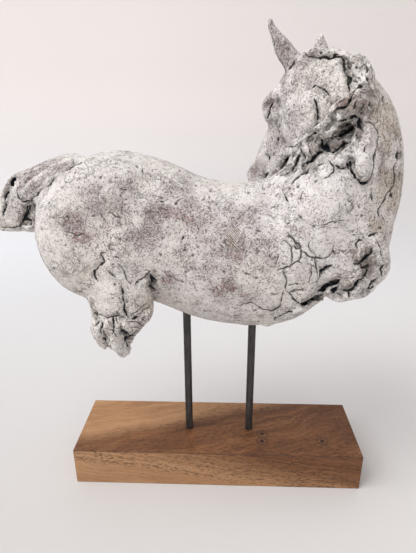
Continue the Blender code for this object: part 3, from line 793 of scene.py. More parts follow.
# The near side's cracks and holes: (half width, depth, pixels along it), the first two in
# millimetres.
CRACKS = (
    # The head: lids, jowl, nostril, mouth, throat and the ear's fold.
    (0.8, 2.5, [(273, 103), (270, 107), (268, 112), (267, 119)]),
    (0.9, 2.2, [(314, 99), (317, 105), (318.5, 112), (318, 121)]),
    (0.8, 1.6, [(279, 124), (278.5, 128)]),
    (0.8, 1.6, [(278.5, 131), (278.5, 134)]),
    (0.9, 1.8, [(278, 138), (278, 142)]),
    (0.6, 1.0, [(281, 143), (285, 147), (293, 148), (297, 145)]),
    (0.5, 0.8, [(315, 128), (311, 134), (305, 138)]),
    (1.2, 3.0, [(268, 154), (269, 160)]),
    (1.4, 3.0, [(263, 178), (266, 175), (268, 173)]),
    (0.8, 1.8, [(312, 88), (315, 85.5), (318, 87), (325, 91), (330, 97)]),
    (0.8, 1.5, [(294, 60), (291, 66), (288, 70)]),
    (0.8, 1.2, [(286, 70), (283, 74), (279.5, 78)]),
    (0.7, 1.0, [(285, 42), (284, 46)]),
    (0.9, 1.5, [(305, 54), (307, 56)]),
    (0.7, 1.0, [(304, 63), (308, 66)]),
    (0.5, 0.8, [(290, 90), (293, 93), (296, 88)]),
    # Over the poll and down the crest.
    (0.6, 1.8, [(305, 56), (309, 57.5), (316, 57), (325, 58), (334, 57), (342, 57.5)]),
    (1.4, 3.0, [(319, 52), (322, 52)]),
    (0.6, 1.0, [(312, 47), (315, 46)]),
    (0.6, 2.0, [(340, 57), (344, 61), (344.5, 67), (347, 73), (350, 78), (349, 84), (350, 91)]),
    (0.55, 1.4, [(347, 62), (348, 67), (352, 73)]),
    (1.1, 2.2, [(356, 67), (358, 68)]),
    (0.7, 1.6, [(365, 64), (367, 72), (369, 68)]),
    (0.7, 1.4, [(367, 76), (370, 82)]),
    (0.9, 2.0, [(357, 84), (361, 86), (357, 88)]),
    (0.8, 1.8, [(360, 92), (366, 93)]),
    (0.9, 2.0, [(370, 102), (369.5, 106)]),
    (0.6, 1.4, [(352, 80), (356, 82), (358, 85)]),
    (0.5, 1.2, [(353, 89), (356, 84)]),
    (0.6, 1.4, [(364, 64), (364.5, 68)]),
    (0.5, 1.2, [(329.5, 50), (329.5, 54)]),
    (0.8, 1.8, [(333, 55.5), (338, 55)]),
    (0.8, 1.8, [(304.5, 54), (307.5, 57)]),
    (1.3, 2.4, [(384, 96), (384.5, 102)]),
    (0.9, 1.8, [(352, 63.5), (355, 62)]),
    (0.8, 1.6, [(361, 73), (362.5, 75.5)]),
    (0.9, 1.8, [(356.5, 78), (359, 79)]),
    # Between the rolls of the mane.
    (0.75, 3.0, [(333.5, 112.5), (338, 109.5), (343, 108), (347, 105), (350, 100.5), (351.5, 96.5)]),
    (0.45, 1.4, [(351.5, 96.5), (354, 91), (357, 88)]),
    (0.45, 1.0, [(336, 104), (340, 102), (345, 98)]),
    (0.7, 2.2, [(338, 122.5), (341, 121), (346, 120)]),
    (0.9, 2.6, [(350, 118.5), (354, 116.5), (358, 118.5)]),
    (0.9, 2.2, [(360, 112.5), (363, 114)]),
    (1.2, 3.4, [(359.5, 119), (360, 124), (361.5, 128.5)]),
    (0.7, 2.6, [(332, 135), (337, 131.5), (342, 128), (346, 125.5), (351, 123.5)]),
    (1.5, 4.6, [(339, 136), (344, 133), (349, 130), (354, 126.5)]),
    (1.0, 3.6, [(341, 132.5), (346, 129.5)]),
    (0.7, 2.2, [(325, 139), (330, 139.5), (334, 137.5), (338, 136)]),
    (1.0, 3.0, [(320.5, 134), (320.5, 140), (323, 144.5)]),
    (2.3, 4.0, [(321.5, 143), (325, 147), (329, 150.5)]),
    (0.9, 3.2, [(332, 152.5), (337, 149.5), (343, 146), (347, 142), (351, 139)]),
    (0.45, 1.2, [(356, 132), (357.5, 137), (356.5, 141)]),
    (0.5, 1.2, [(353, 142), (354, 146)]),
    (0.45, 1.1, [(352, 148), (349.5, 150)]),
    (0.6, 1.4, [(365, 146), (364.7, 150), (363, 152)]),
    (0.45, 1.2, [
        (364.5, 122), (370, 122), (374, 124.5), (378, 130), (379.5, 138), (379, 146), (376.5, 153),
        (376, 160),
    ]),
    (0.45, 0.9, [(375, 125), (379, 120.5)]),
    (0.5, 1.4, [(358, 98), (355, 104), (352, 109)]),
    (0.5, 1.2, [(366, 104), (363, 109), (359, 112)]),
    (0.8, 3.0, [(350, 162), (351, 168), (354, 174), (358, 180), (362, 184), (367, 183), (370, 179)]),
    (0.7, 1.8, [(348, 162), (346, 168), (341, 169), (336, 166)]),
    (1.8, 3.0, [(348, 163), (350, 169)]),
    # Between the locks on the withers.
    (1.0, 2.8, [(309, 138), (312, 134.5), (318, 131.5)]),
    (1.2, 2.6, [(310.5, 141), (313, 137)]),
    (0.8, 2.0, [(315.5, 142), (317.5, 136)]),
    (1.0, 3.2, [(290, 155), (287, 160), (284.5, 166), (281, 171)]),
    (0.7, 2.6, [(299.5, 156), (297, 162), (294, 168), (292, 171)]),
    (0.5, 1.4, [(300, 144), (301, 151), (305, 157), (304, 162)]),
    (0.5, 1.2, [(310, 141), (309.5, 148), (312, 156)]),
    (0.9, 3.0, [(323, 151), (317, 154), (312, 159), (308, 162), (303, 166)]),
    (1.3, 3.4, [(301.5, 174), (305, 171.5), (308.5, 168.5)]),
    (0.6, 1.6, [(280, 175), (285, 173.5), (290, 172)]),
    (0.6, 1.6, [(291, 184), (297, 178), (301, 174)]),
    (0.6, 1.2, [(316, 164), (319, 165), (323, 163)]),
    (0.6, 1.4, [(328, 160), (334.5, 167), (334, 172), (329, 177), (323, 178)]),
    # Pits and creases down the neck.
    (0.9, 2.0, [(398, 150), (398, 160)]),
    (1.2, 2.2, [(372, 194), (373, 200)]),
    (1.1, 2.2, [(391, 192), (393, 198)]),
    (0.9, 1.6, [(379, 212), (381, 217)]),
    (0.8, 1.6, [(384, 217), (385, 220)]),
    (0.7, 1.4, [
        (396, 163), (394.5, 171), (395.5, 180), (392, 188), (386, 197), (381, 208), (379, 217),
    ]),
    (1.1, 2.2, [(376, 152), (375.5, 157), (375, 162)]),
    (0.55, 1.5, [(376, 161), (375.5, 167), (373, 174), (370, 180)]),
    (0.6, 1.0, [(385, 180), (387, 187)]),
    # The fine crackle of the shoulder.
    (0.7, 1.2, [
        (288, 233), (291, 237), (295, 242), (298, 247), (303, 252), (308, 256), (314, 258),
        (323, 259),
    ]),
    (0.6, 1.0, [(285, 240), (289, 244), (292, 247.5), (292.5, 255), (292, 261), (289.5, 267)]),
    (0.5, 0.8, [(291, 246), (295, 246.5)]),
    (0.45, 0.8, [(323, 259), (329, 257), (332.5, 253), (333.5, 247), (335, 243)]),
    (0.9, 1.6, [(333, 250.5), (334, 253.5)]),
    (0.5, 0.9, [(305, 263.5), (310, 264.5), (315, 267), (317, 270)]),
    (0.5, 0.9, [(288, 286), (293, 285), (297, 283.5), (301, 285)]),
    (0.45, 0.7, [(279, 254), (277.5, 260), (275.5, 265)]),
    (0.9, 1.4, [(275, 256.5), (275.5, 258)]),
    (0.7, 1.2, [(282, 263), (283, 264)]),
    (0.4, 0.7, [(317, 238), (311.5, 239.5), (308.5, 244), (310, 250), (315, 255)]),
    (0.4, 0.7, [(321, 276), (315, 282), (309, 285)]),
    (0.8, 1.4, [(296, 283), (297.5, 285)]),
    (0.8, 1.4, [(294, 242), (299, 244), (301, 248), (297, 249), (294, 245)]),
    (0.7, 1.2, [(301, 249), (301, 257), (299, 262), (303, 264)]),
    (0.6, 1.2, [(315, 258), (316, 266), (318, 275)]),
    (1.4, 3.0, [(320, 276), (322, 271), (327, 268), (332, 266)]),
    (0.75, 1.4, [(311, 265), (311.5, 272), (310.5, 278), (309.5, 283)]),
    (0.7, 1.2, [(300, 261), (294, 263.5), (290, 267), (284, 269), (277, 270.5)]),
    (0.7, 1.2, [(283, 271), (286, 278), (287, 284), (286, 291)]),
    (0.9, 1.8, [(287, 292), (291, 295), (295, 301), (301, 304)]),
    (0.6, 1.0, [(289, 293), (297, 291), (306, 288)]),
    (0.6, 1.2, [(284, 292), (282, 300), (280, 308), (273, 312), (264, 311), (258, 307)]),
    (0.5, 0.8, [(258, 307), (250, 303), (240, 306)]),
    (0.5, 0.8, [(322, 225), (333, 222), (342, 221), (351, 220)]),
    (1.0, 1.8, [(285, 196), (288, 202)]),
    (0.7, 1.2, [(270, 208), (275, 206)]),
    (1.1, 2.0, [(298, 215), (302, 219)]),
    (1.0, 1.6, [(287, 224), (289, 223)]),
    (0.5, 0.7, [(348, 199), (353, 203), (354, 208), (350, 213)]),
    (0.5, 0.7, [(340, 203), (339, 209)]),
    # The near breast and the torn hollows under it.
    (0.7, 1.8, [(357, 249), (356, 244), (359, 240), (363, 240)]),
    (0.9, 2.0, [(369, 236), (374, 234), (378, 232)]),
    (0.8, 2.4, [(372, 248), (371, 253), (366, 257), (362, 261), (359, 264), (354, 264)]),
    (0.8, 1.8, [(361, 263), (362, 268), (366, 268), (369, 263)]),
    (0.75, 2.2, [(367, 268), (366, 273), (362, 279), (356, 283), (353, 289), (347, 291), (342, 290)]),
    (0.9, 2.2, [(348, 291), (350, 298)]),
    (0.9, 1.8, [(350, 278), (354, 277)]),
    (0.9, 2.0, [(378, 278), (372, 282), (369, 288)]),
    (0.9, 2.0, [(384, 265), (381, 270), (382, 276)]),
    (0.8, 1.6, [(364, 289), (363, 294)]),
    (0.5, 0.8, [(375, 239), (379, 246), (383, 258)]),
    (1.2, 4.0, [(319, 291.5), (325, 287), (332, 283), (339, 280)]),
    (2.4, 5.0, [(332.5, 294), (336.5, 287)]),
    (0.8, 2.6, [(336, 293), (341, 296)]),
    (2.2, 6.0, [(301, 304), (308, 300.5), (315, 298), (325, 297)]),
    (1.2, 2.5, [(274.5, 320), (277, 318)]),
    (0.6, 1.4, [(277, 318), (283, 315), (288, 313)]),
    (1.2, 2.4, [(287, 313), (292, 311.5)]),
    # The tail's holes and the outline of its folded lobe.
    (0.8, 1.4, [(92, 158), (97, 155), (103, 153)]),
    (0.9, 1.6, [(66, 170), (74, 165), (82, 162)]),
    (2.2, 4.2, [(12, 185.5), (13, 181), (15, 178)]),
    (0.6, 1.2, [(1, 227.5), (10, 228.5), (18, 226.5), (22, 222)]),
    (1.4, 4.0, [(5, 200), (6, 194), (9, 192)]),
    (1.2, 3.0, [(3, 216), (4, 209), (6, 203)]),
    (0.65, 1.8, [(17, 192), (18, 198), (22, 203), (31, 201)]),
    (0.7, 1.8, [(31, 200), (38, 193), (44, 187), (51, 182), (54, 177)]),
    (0.6, 1.0, [(16, 192), (19, 183), (24, 176), (32, 171)]),
    (0.9, 3.4, [(30, 202), (27.5, 208), (26.5, 215), (24, 221), (20, 227)]),
    (0.9, 3.0, [(31, 199), (32, 205), (29, 211)]),
    (1.1, 2.5, [(34, 204), (36, 208)]),
    (1.0, 2.5, [(24, 221), (27, 219), (32, 221), (31, 225)]),
    (1.2, 2.2, [(29, 168.5), (33.5, 168)]),
    (0.7, 1.4, [(73, 160), (74, 165)]),
    # Marks on the haunch, and the cracks of the near thigh and its stump.
    (0.9, 1.6, [(120, 188), (123, 190), (128, 189)]),
    (0.7, 1.2, [(143, 168), (144, 174)]),
    (0.8, 1.2, [(131, 180), (133, 181)]),
    (1.0, 1.6, [(160, 201), (164, 202)]),
    (0.8, 1.2, [(166, 218), (168, 217)]),
    (0.6, 1.0, [(63, 219), (67, 216), (69, 221)]),
    (0.45, 0.7, [(66, 231), (72, 233), (77, 236), (82, 234), (87, 238)]),
    (0.6, 0.8, [(100, 213), (103, 218), (106, 222)]),
    (0.45, 0.7, [(110, 212), (116, 217), (123, 217)]),
    (0.6, 0.8, [(110, 244), (109, 249)]),
    (0.5, 0.8, [(94, 252), (98, 256)]),
    (0.75, 2.0, [(105, 253), (100.5, 254), (103, 258), (103.5, 262), (99, 266)]),
    (0.85, 2.2, [(99, 266), (95, 271), (95, 277), (98, 281)]),
    (0.9, 1.6, [(115, 257), (119, 259)]),
    (0.6, 1.0, [(117, 263), (122, 268), (125, 274), (127, 280), (131, 284)]),
    (0.6, 1.0, [(107, 270), (111, 274), (117, 278)]),
    (0.9, 2.2, [(121, 287), (123, 290), (123.5, 295)]),
    (0.5, 1.2, [(123.5, 295), (125, 304)]),
    (0.9, 2.4, [(125, 304), (124.5, 310), (127, 316)]),
    (0.5, 1.3, [
        (85, 297), (87, 302), (92, 309), (98, 315), (106, 318), (113, 317), (120, 316.5),
        (126, 317),
    ]),
    (1.4, 3.2, [(93.5, 312.5), (97, 316)]),
    (0.5, 1.4, [(100, 320), (98, 323), (95, 326)]),
    (0.7, 2.0, [(102, 322), (101.5, 328), (102, 334)]),
    (0.6, 1.6, [(104, 330), (104, 333.5), (107, 336)]),
    (0.7, 1.8, [(111.5, 330), (113.5, 331.5), (112, 334)]),
    (1.4, 3.6, [(103.5, 338), (105, 340.5)]),
    (0.6, 1.8, [(105, 341), (107, 345), (110.5, 350)]),
    (0.8, 2.6, [(112.8, 317), (113, 324), (113.5, 330)]),
    (0.9, 2.0, [(115.5, 318.5), (116.5, 321)]),
    (0.5, 1.4, [(114, 333), (117, 337)]),
    (0.6, 1.8, [(121, 324), (121, 330)]),
    (1.7, 3.8, [(121, 329), (123.5, 333.5), (128, 336)]),
    (1.5, 3.6, [(131, 336.5), (127.5, 338.5), (125, 342)]),
    (0.5, 1.4, [(126, 342), (129, 348)]),
    (1.2, 2.2, [(132.5, 319.5), (137, 317.5)]),
    (1.6, 3.4, [(142.5, 322), (145.5, 319.5), (148.5, 318.5)]),
    (0.5, 1.0, [(131, 316), (139, 310), (147, 303)]),
    (0.5, 1.0, [(137, 315), (144, 310), (151, 306)]),
    (0.5, 1.1, [(128, 322), (136, 322), (143, 326)]),
    (0.5, 1.0, [(131, 328), (137, 327), (141, 329)]),
    (1.0, 2.4, [(136.5, 331), (134, 336), (131, 340)]),
    (0.5, 1.0, [(120, 354), (123, 356)]),
    # Where the flank meets the thigh.
    (0.6, 1.6, [(135, 285), (140, 280), (146, 276), (151, 271)]),
    (1.6, 3.8, [(151, 275), (153.5, 280), (151.5, 286), (155, 292)]),
    (0.7, 1.8, [(149, 280), (151, 284)]),
    (0.6, 1.4, [(152, 275), (156, 277), (159, 275)]),
    (1.0, 1.6, [(180, 281), (184, 283)]),
    (0.6, 0.8, [(174, 223), (179, 219), (183, 219)]),
    (0.9, 1.2, [(182, 240), (184, 236)]),
    # Scratches and nicks on the ribs.
    (0.6, 0.8, [(174, 204), (179, 200), (183, 198)]),
    (0.8, 1.2, [(219, 244), (224, 248)]),
    (0.8, 1.2, [(246, 256), (249, 255)]),
    (0.9, 1.2, [(244, 273), (250, 275)]),
    (0.8, 1.0, [(252, 218), (249, 223)]),
    (0.7, 1.0, [(256, 230), (262, 231)]),
)
# The print of a ribbed tool on the ribs: short parallel lines, each by the pixel of its upper end
# and its length in pixels.
COMB = (
    ((237.5, 228), 5), ((236, 229), 6.5), ((234.6, 229.8), 7), ((232.6, 230), 8.5),
    ((231.4, 231.4), 9), ((230.6, 233.2), 9), ((229.4, 234.4), 10), ((227.4, 234), 8),
    ((226.4, 235.2), 8), ((232.4, 241), 6), ((228.4, 239.6), 8), ((226.2, 239), 7),
)
COMB_WAY = (0.66, 0.75)

# Soft folds and swellings between the near side's forms: (half width, depth, pixels along it), the
# first two in millimetres.
FOLDS = (
    (9.0, 1.5, [(158, 206), (150, 222), (142, 236), (132, 250), (122, 262)]),
    (7.0, -1.3, [(171, 214), (163, 232), (155, 250), (152, 262)]),
    (6.0, 1.8, [(64, 218), (74, 226), (86, 236)]),
    (7.0, 1.2, [(98, 186), (110, 200), (118, 214)]),
    (2.6, 1.5, [(315, 99), (319, 112), (317, 126), (309, 138), (297, 147), (286, 146), (280, 138)]),
    (2.2, 0.9, [(281, 100), (277, 112), (278, 126), (280, 138)]),
    (3.0, 1.4, [(304, 64), (300, 76), (306, 88), (318, 94), (330, 102), (334, 110)]),
    (2.5, 1.3, [(280, 94), (276, 104), (272, 112), (270, 122)]),
    (3.0, 1.0, [(122, 285), (125, 300), (126, 318)]),
    (2.6, 1.5, [(90, 300), (96, 312), (108, 318), (126, 317), (140, 318)]),
    (4.0, 1.0, [(336, 196), (346, 196), (356, 206), (350, 216), (338, 214)]),
    (3.0, 1.4, [(376, 128), (380, 142), (378, 158), (374, 172)]),
    (3.4, 1.2, [(343, 60), (346, 68), (350, 77), (351, 88)]),
    (2.2, 1.4, [(358, 99), (354, 107), (349, 114)]),
    (2.0, 1.2, [(367, 100), (364, 107), (359, 112)]),
    (4.0, 1.2, [(285, 293), (281, 306), (268, 313), (252, 305), (238, 306)]),
    (3.4, 1.6, [(356, 238), (352, 250), (357, 264), (350, 276)]),
    (6.0, 1.6, [(300, 226), (314, 232), (330, 230), (346, 224)]),
    (3.0, 1.4, [(284, 268), (287, 282), (284, 292), (298, 290), (310, 282)]),
    (2.6, 1.2, [(336, 117), (330, 122), (324, 134)]),
    (3.0, 1.2, [(372, 196), (379, 208), (384, 222), (374, 234), (362, 238)]),
)
# Guessed cracks of the far side: (half width, depth, (x, z) along it), all in millimetres.
FAR_CRACKS = (
    (0.9, 2.0, [(52, 352), (58, 344), (70, 341), (82, 346), (88, 358), (88, 372)]),
    (1.0, 2.2, [(38, 372), (37, 362), (40, 356)]),
    (0.8, 1.6, [(62, 392), (72, 396), (80, 390)]),
    (1.4, 3.5, [(108, 420), (112, 406), (118, 394), (116, 380)]),
    (1.6, 4.0, [(96, 372), (104, 366), (112, 368), (118, 376)]),
    (2.4, 5.0, [(98, 356), (108, 354), (116, 360)]),
    (1.6, 4.0, [(86, 350), (94, 342), (106, 340), (114, 348)]),
    (1.4, 3.5, [(122, 362), (128, 350), (128, 334), (120, 318), (112, 316)]),
    (1.2, 3.0, [(60, 334), (72, 338), (84, 342)]),
    (1.2, 3.0, [(56, 322), (68, 328), (80, 330), (92, 330)]),
    (0.7, 1.3, [(62, 262), (74, 256), (82, 246), (96, 242), (108, 246)]),
    (0.7, 1.3, [(82, 246), (80, 232), (88, 222), (86, 210)]),
    (0.7, 1.3, [(96, 242), (100, 230), (96, 218)]),
    (0.8, 1.6, [(118, 262), (128, 254), (132, 240), (142, 232)]),
    (2.2, 4.5, [(98, 212), (108, 216), (118, 220)]),
    (1.6, 3.5, [(122, 216), (132, 222), (142, 230)]),
    (1.0, 2.2, [(-118, 246), (-112, 236), (-118, 226), (-114, 214)]),
    (1.2, 2.6, [(-96, 214), (-94, 204), (-97, 192), (-93, 184)]),
    (1.0, 2.0, [(-128, 190), (-116, 182), (-100, 180), (-88, 184)]),
    (1.6, 3.2, [(-112, 178), (-110, 168), (-104, 160)]),
    (1.8, 3.6, [(-90, 176), (-94, 166), (-88, 158)]),
    (1.4, 3.0, [(-72, 214), (-68, 204), (-72, 194)]),
    (0.8, 1.4, [(-40, 272), (-30, 268), (-22, 260)]),
    (0.7, 1.2, [(10, 240), (20, 232), (34, 236), (40, 228)]),
    (1.6, 3.5, [(-196, 306), (-190, 296), (-192, 286)]),
    (1.2, 3.0, [(-176, 280), (-170, 292), (-158, 300)]),
)


# A path is looked for within this reach of it, in the units of the points.
PATH_REACH, UNREACHED = 16, 1e9


def to_paths(points, paths):
    """The distance to the nearest of some paths, which it is, and how far off its nearer end is."""
    nearest = np.full(len(points), UNREACHED)
    which = np.zeros(len(points), int)
    from_end = np.zeros(len(points))
    for number, path in enumerate(paths):
        low, high = np.min(path, 0) - PATH_REACH, np.max(path, 0) + PATH_REACH
        close = np.nonzero(((points > low) & (points < high)).all(1))[0]
        path = np.array(path, float)
        lengths = np.linalg.norm(np.diff(path, axis=0), axis=1)
        whole, before = lengths.sum(), 0.0
        for start, end, length in zip(path, path[1:], lengths):
            run = end - start
            share = np.clip((points[close] - start) @ run / (run @ run), 0, 1)
            away = np.linalg.norm(points[close] - start - np.outer(share, run), axis=1)
            nearer = away < nearest[close]
            nearest[close[nearer]] = away[nearer]
            which[close[nearer]] = number
            done = before + share[nearer] * length
            from_end[close[nearer]] = np.minimum(done, whole - done)
            before += length
    return nearest, which, from_end


BEND_EVERY, BEND_ASIDE = 3, 0.45


def wander(path, seed):
    """The path with bends between its points, because a crack never runs straight."""
    chance = np.random.default_rng(seed)
    made = [path[0]]
    for start, end in zip(path, path[1:]):
        start, end = np.array(start, float), np.array(end, float)
        run = end - start
        length = np.linalg.norm(run)
        pieces = max(1, int(length / BEND_EVERY))
        across = np.array([-run[1], run[0]]) / length
        for piece in range(1, pieces):
            made.append(tuple(start + run * piece / pieces + across * chance.normal() * BEND_ASIDE))
        made.append(tuple(end))
    return made


def comb_line(start, run):
    """One tooth mark's two ends."""
    return [start, (start[0] + COMB_WAY[0] * run, start[1] + COMB_WAY[1] * run)]


FAR_SEED, FOLD_SEED = 500, 900
crack_paths = [wander(path, number) for number, (half, low, path) in enumerate(CRACKS)]
far_paths = [wander(path, FAR_SEED + number) for number, (half, low, path) in enumerate(FAR_CRACKS)]
comb_paths = [comb_line(start, run) for start, run in COMB]
crack_widths, crack_depths = np.array([crack[:2] for crack in CRACKS]).T
far_widths, far_depths = np.array([crack[:2] for crack in FAR_CRACKS]).T
OUT_OF_REACH = 1e3
FAR_FACING = 0.15
RUN_OUT, THINNEST = 5, 0.4


def toward_eye(places, normals):
    """How squarely the skin faces the camera: 1 head on, 0 edge on, and less from behind."""
    toward = np.array(EYE) - places
    return (toward * normals).sum(1) / np.linalg.norm(toward, axis=1)


def to_cracks(places, normals):
    """How far the nearest crack is, its half width and depth in millimetres, and if it is far."""
    drawn, deep = pixels_of(places)
    away_px, which, from_end = to_paths(drawn, crack_paths)
    facing = toward_eye(places, normals) > 0
    away = np.where(facing, away_px * deep / LENS_PX / MM, OUT_OF_REACH)
    far_away, far_which, far_from_end = to_paths(places[:, ::2] / MM, far_paths)
    far_away[normals[:, 1] < FAR_FACING] = OUT_OF_REACH
    on_far = far_away < away
    away = np.where(on_far, far_away, away)
    width = np.where(on_far, far_widths[far_which], crack_widths[which])
    depth = np.where(on_far, far_depths[far_which], crack_depths[which])
    # Every crack runs out thin and shallow.
    thin = np.clip(THINNEST + np.where(on_far, far_from_end, from_end) / RUN_OUT, THINNEST, 1)
    return away, width * thin, depth * (THINNEST + (1 - THINNEST) * thin), on_far


def to_comb(places, normals):
    """Millimetres from the nearest tooth mark of the comb."""
    drawn, deep = pixels_of(places)
    away_px = np.minimum(to_paths(drawn, comb_paths)[0], OUT_OF_REACH)
    return np.where(normals[:, 1] < 0, away_px * deep / LENS_PX / MM, OUT_OF_REACH)


def cut_finer(mesh, wanted):
    """Cuts in two every edge of the mesh that ends at a wanted corner."""
    form = bmesh.new()
    form.from_mesh(mesh)
    form.verts.ensure_lookup_table()
    edges = {edge for corner in np.nonzero(wanted)[0] for edge in form.verts[corner].link_edges}
    bmesh.ops.subdivide_edges(form, edges=list(edges), cuts=1, use_grid_fill=True)
    bmesh.ops.triangulate(form, faces=[face for face in form.faces if len(face.verts) > 4])
    form.to_mesh(mesh)
    form.free()


# The skin is cut finer wherever a crack will run, and finer still under the print of the tool.
BESIDE_CRACK_MM, BESIDE_COMB_MM = 0.9, 1.4
COMB_ROUNDS = 2
away, width, depth, on_far = to_cracks(corners_of(clay_mesh), normals_of(clay_mesh))
cut_finer(clay_mesh, away < width + BESIDE_CRACK_MM)
for comb_round in range(COMB_ROUNDS):
    cut_finer(clay_mesh, to_comb(corners_of(clay_mesh), normals_of(clay_mesh)) < BESIDE_COMB_MM)


WAVES = 6
SHORTEST_WAVE, LONGEST_WAVE = 0.6, 1.6


def ripple(places, waves_mm, seed):
    """A slow random wave through space, from about -1 to 1."""
    chance = np.random.default_rng(seed)
    total = np.zeros(len(places))
    for wave in range(WAVES):
        way = chance.normal(size=3)
        wave_mm = waves_mm * MM * chance.uniform(SHORTEST_WAVE, LONGEST_WAVE)
        way *= 2 * math.pi / (wave_mm * np.linalg.norm(way))
        total += np.sin(places @ way + chance.uniform(0, 2 * math.pi))
    return total / (WAVES / 2)


EDGE_ON, NEARLY_SEEN = 0.02, 0.004
SIGHT_FADE, FRONT_FADE = 8, 4


def in_sight(places, normals, wanted, skin):
    """How well the camera sees each of the wanted points, from 0 to 1."""
    facing = toward_eye(places, normals)
    seen = np.zeros(len(places))
    for corner in np.nonzero(wanted & (facing > EDGE_ON))[0]:
        away = Vector(places[corner]) - EYE
        hit, hit_normal, hit_face, distance = skin.ray_cast(EYE, away.normalized())
        if hit is None or distance > away.length - NEARLY_SEEN:
            seen[corner] = min(1.0, facing[corner] * SIGHT_FADE)
    return seen


# A crack is a steep groove between two shoulders that sag towards it. Its inside is stained and
# painted with shade, the darker the deeper it is, and the clay round a deep crack is darkened a little.
GROOVE_REACH, GROOVE_STEEPNESS, GROOVE_SPREAD = 1.15, 1.4, 1.25
SHOULDER_SHARE, SHOULDER_MM = 0.28, 2.6
FINE_WAVES_SHARE, LONG_WAVES_SHARE = 0.4, 0.25
LOOKED_AT_WIDTHS, LOOKED_AT_MM = 3, 3
FAR_STEEPNESS, FAR_FROM = 3, 0.3
STAIN_WIDTHS, STAIN_MM, SOOT_MM = 2.2, 0.4, 0.8
BLACK_FROM_MM, PALEST = 2.6, 0.3
places = corners_of(clay_mesh)
normals = normals_of(clay_mesh)
skin = BVHTree.FromPolygons(*faces_of(clay_mesh))
away, width, depth, on_far = to_cracks(places, normals)
fine_waves, long_waves = ripple(places, waves_mm=5, seed=1), ripple(places, waves_mm=13, seed=9)
width = width * (1 + FINE_WAVES_SHARE * fine_waves + LONG_WAVES_SHARE * long_waves)
looked_at = (away < LOOKED_AT_WIDTHS * width + LOOKED_AT_MM) & ~on_far
seen = in_sight(places, normals, looked_at, skin)
seen = np.where(on_far, np.clip(normals[:, 1] * FAR_STEEPNESS - FAR_FROM, 0, 1), seen)
groove = np.clip(GROOVE_REACH - away / (width * GROOVE_SPREAD), 0, 1) ** GROOVE_STEEPNESS
shoulder = SHOULDER_SHARE * np.exp(-np.square(away / SHOULDER_MM)) * np.clip(width, 0, 1)
crack = np.clip(1 - away / (STAIN_WIDTHS * width + STAIN_MM), 0, 1) * seen
deep_crack = np.clip(depth / BLACK_FROM_MM, PALEST, 1.0)
crack_halo = np.exp(-np.square(away / (width + SOOT_MM))) * np.clip(depth / BLACK_FROM_MM, 0, 1) * seen
sunk = (groove + shoulder) * seen * depth

COMB_DEPTH_MM, COMB_BESIDE_MM = 0.6, 1.5
COMB_STEEPNESS, COMB_FROM = 2.2, 1.2
FOLD_END, FOLD_RUN_OUT_PX = 0.3, 8
comb_print = np.clip(1 - to_comb(places, normals) / COMB_BESIDE_MM, 0, 1)
sunk += COMB_DEPTH_MM * np.clip(COMB_STEEPNESS * comb_print - COMB_FROM, 0, 1)
drawn, deep = pixels_of(places)
front = np.clip(toward_eye(places, normals) * FRONT_FADE, 0, 1)
for number, (half, low, path) in enumerate(FOLDS):
    fold_px, which, from_end = to_paths(drawn, [wander(path, FOLD_SEED + number)])
    fold_mm = np.minimum(fold_px, OUT_OF_REACH) * deep / LENS_PX / MM
    run_out = np.clip(FOLD_END + from_end / FOLD_RUN_OUT_PX, 0, 1)
    sunk += low * np.exp(-np.square(fold_mm / half)) * run_out * front
places -= normals * (sunk * MM)[:, None]
clay_mesh.vertices.foreach_set("co", places.ravel())

# Where the clay was torn and left rough: (centre, radius), in millimetres, on every side.
TORN = (
    ((100, -24, 350), 30),
    ((78, -10, 330), 24),
    ((108, -4, 402), 17),
    ((88, 10, 417), 16),
    ((100, 50, 352), 28),
    ((-92, -42, 176), 27),
    ((-92, 42, 192), 27),
    ((126, -38, 238), 20),
    ((120, 38, 236), 24),
    ((92, -30, 212), 20),
    ((90, 25, 206), 20),
    ((-197, 2, 292), 15),
)
TORN_UNEVENNESS, TORN_MIDDLE = 0.25, 1.6
torn = np.zeros(len(places))
uneven_reach = 1 + TORN_UNEVENNESS * ripple(places, waves_mm=14, seed=2)
for centre, radius in TORN:
    gone = np.linalg.norm(places / MM - centre, axis=1) / (radius * uneven_reach)
    torn = np.maximum(torn, np.clip(TORN_MIDDLE - TORN_MIDDLE * gone, 0, 1))
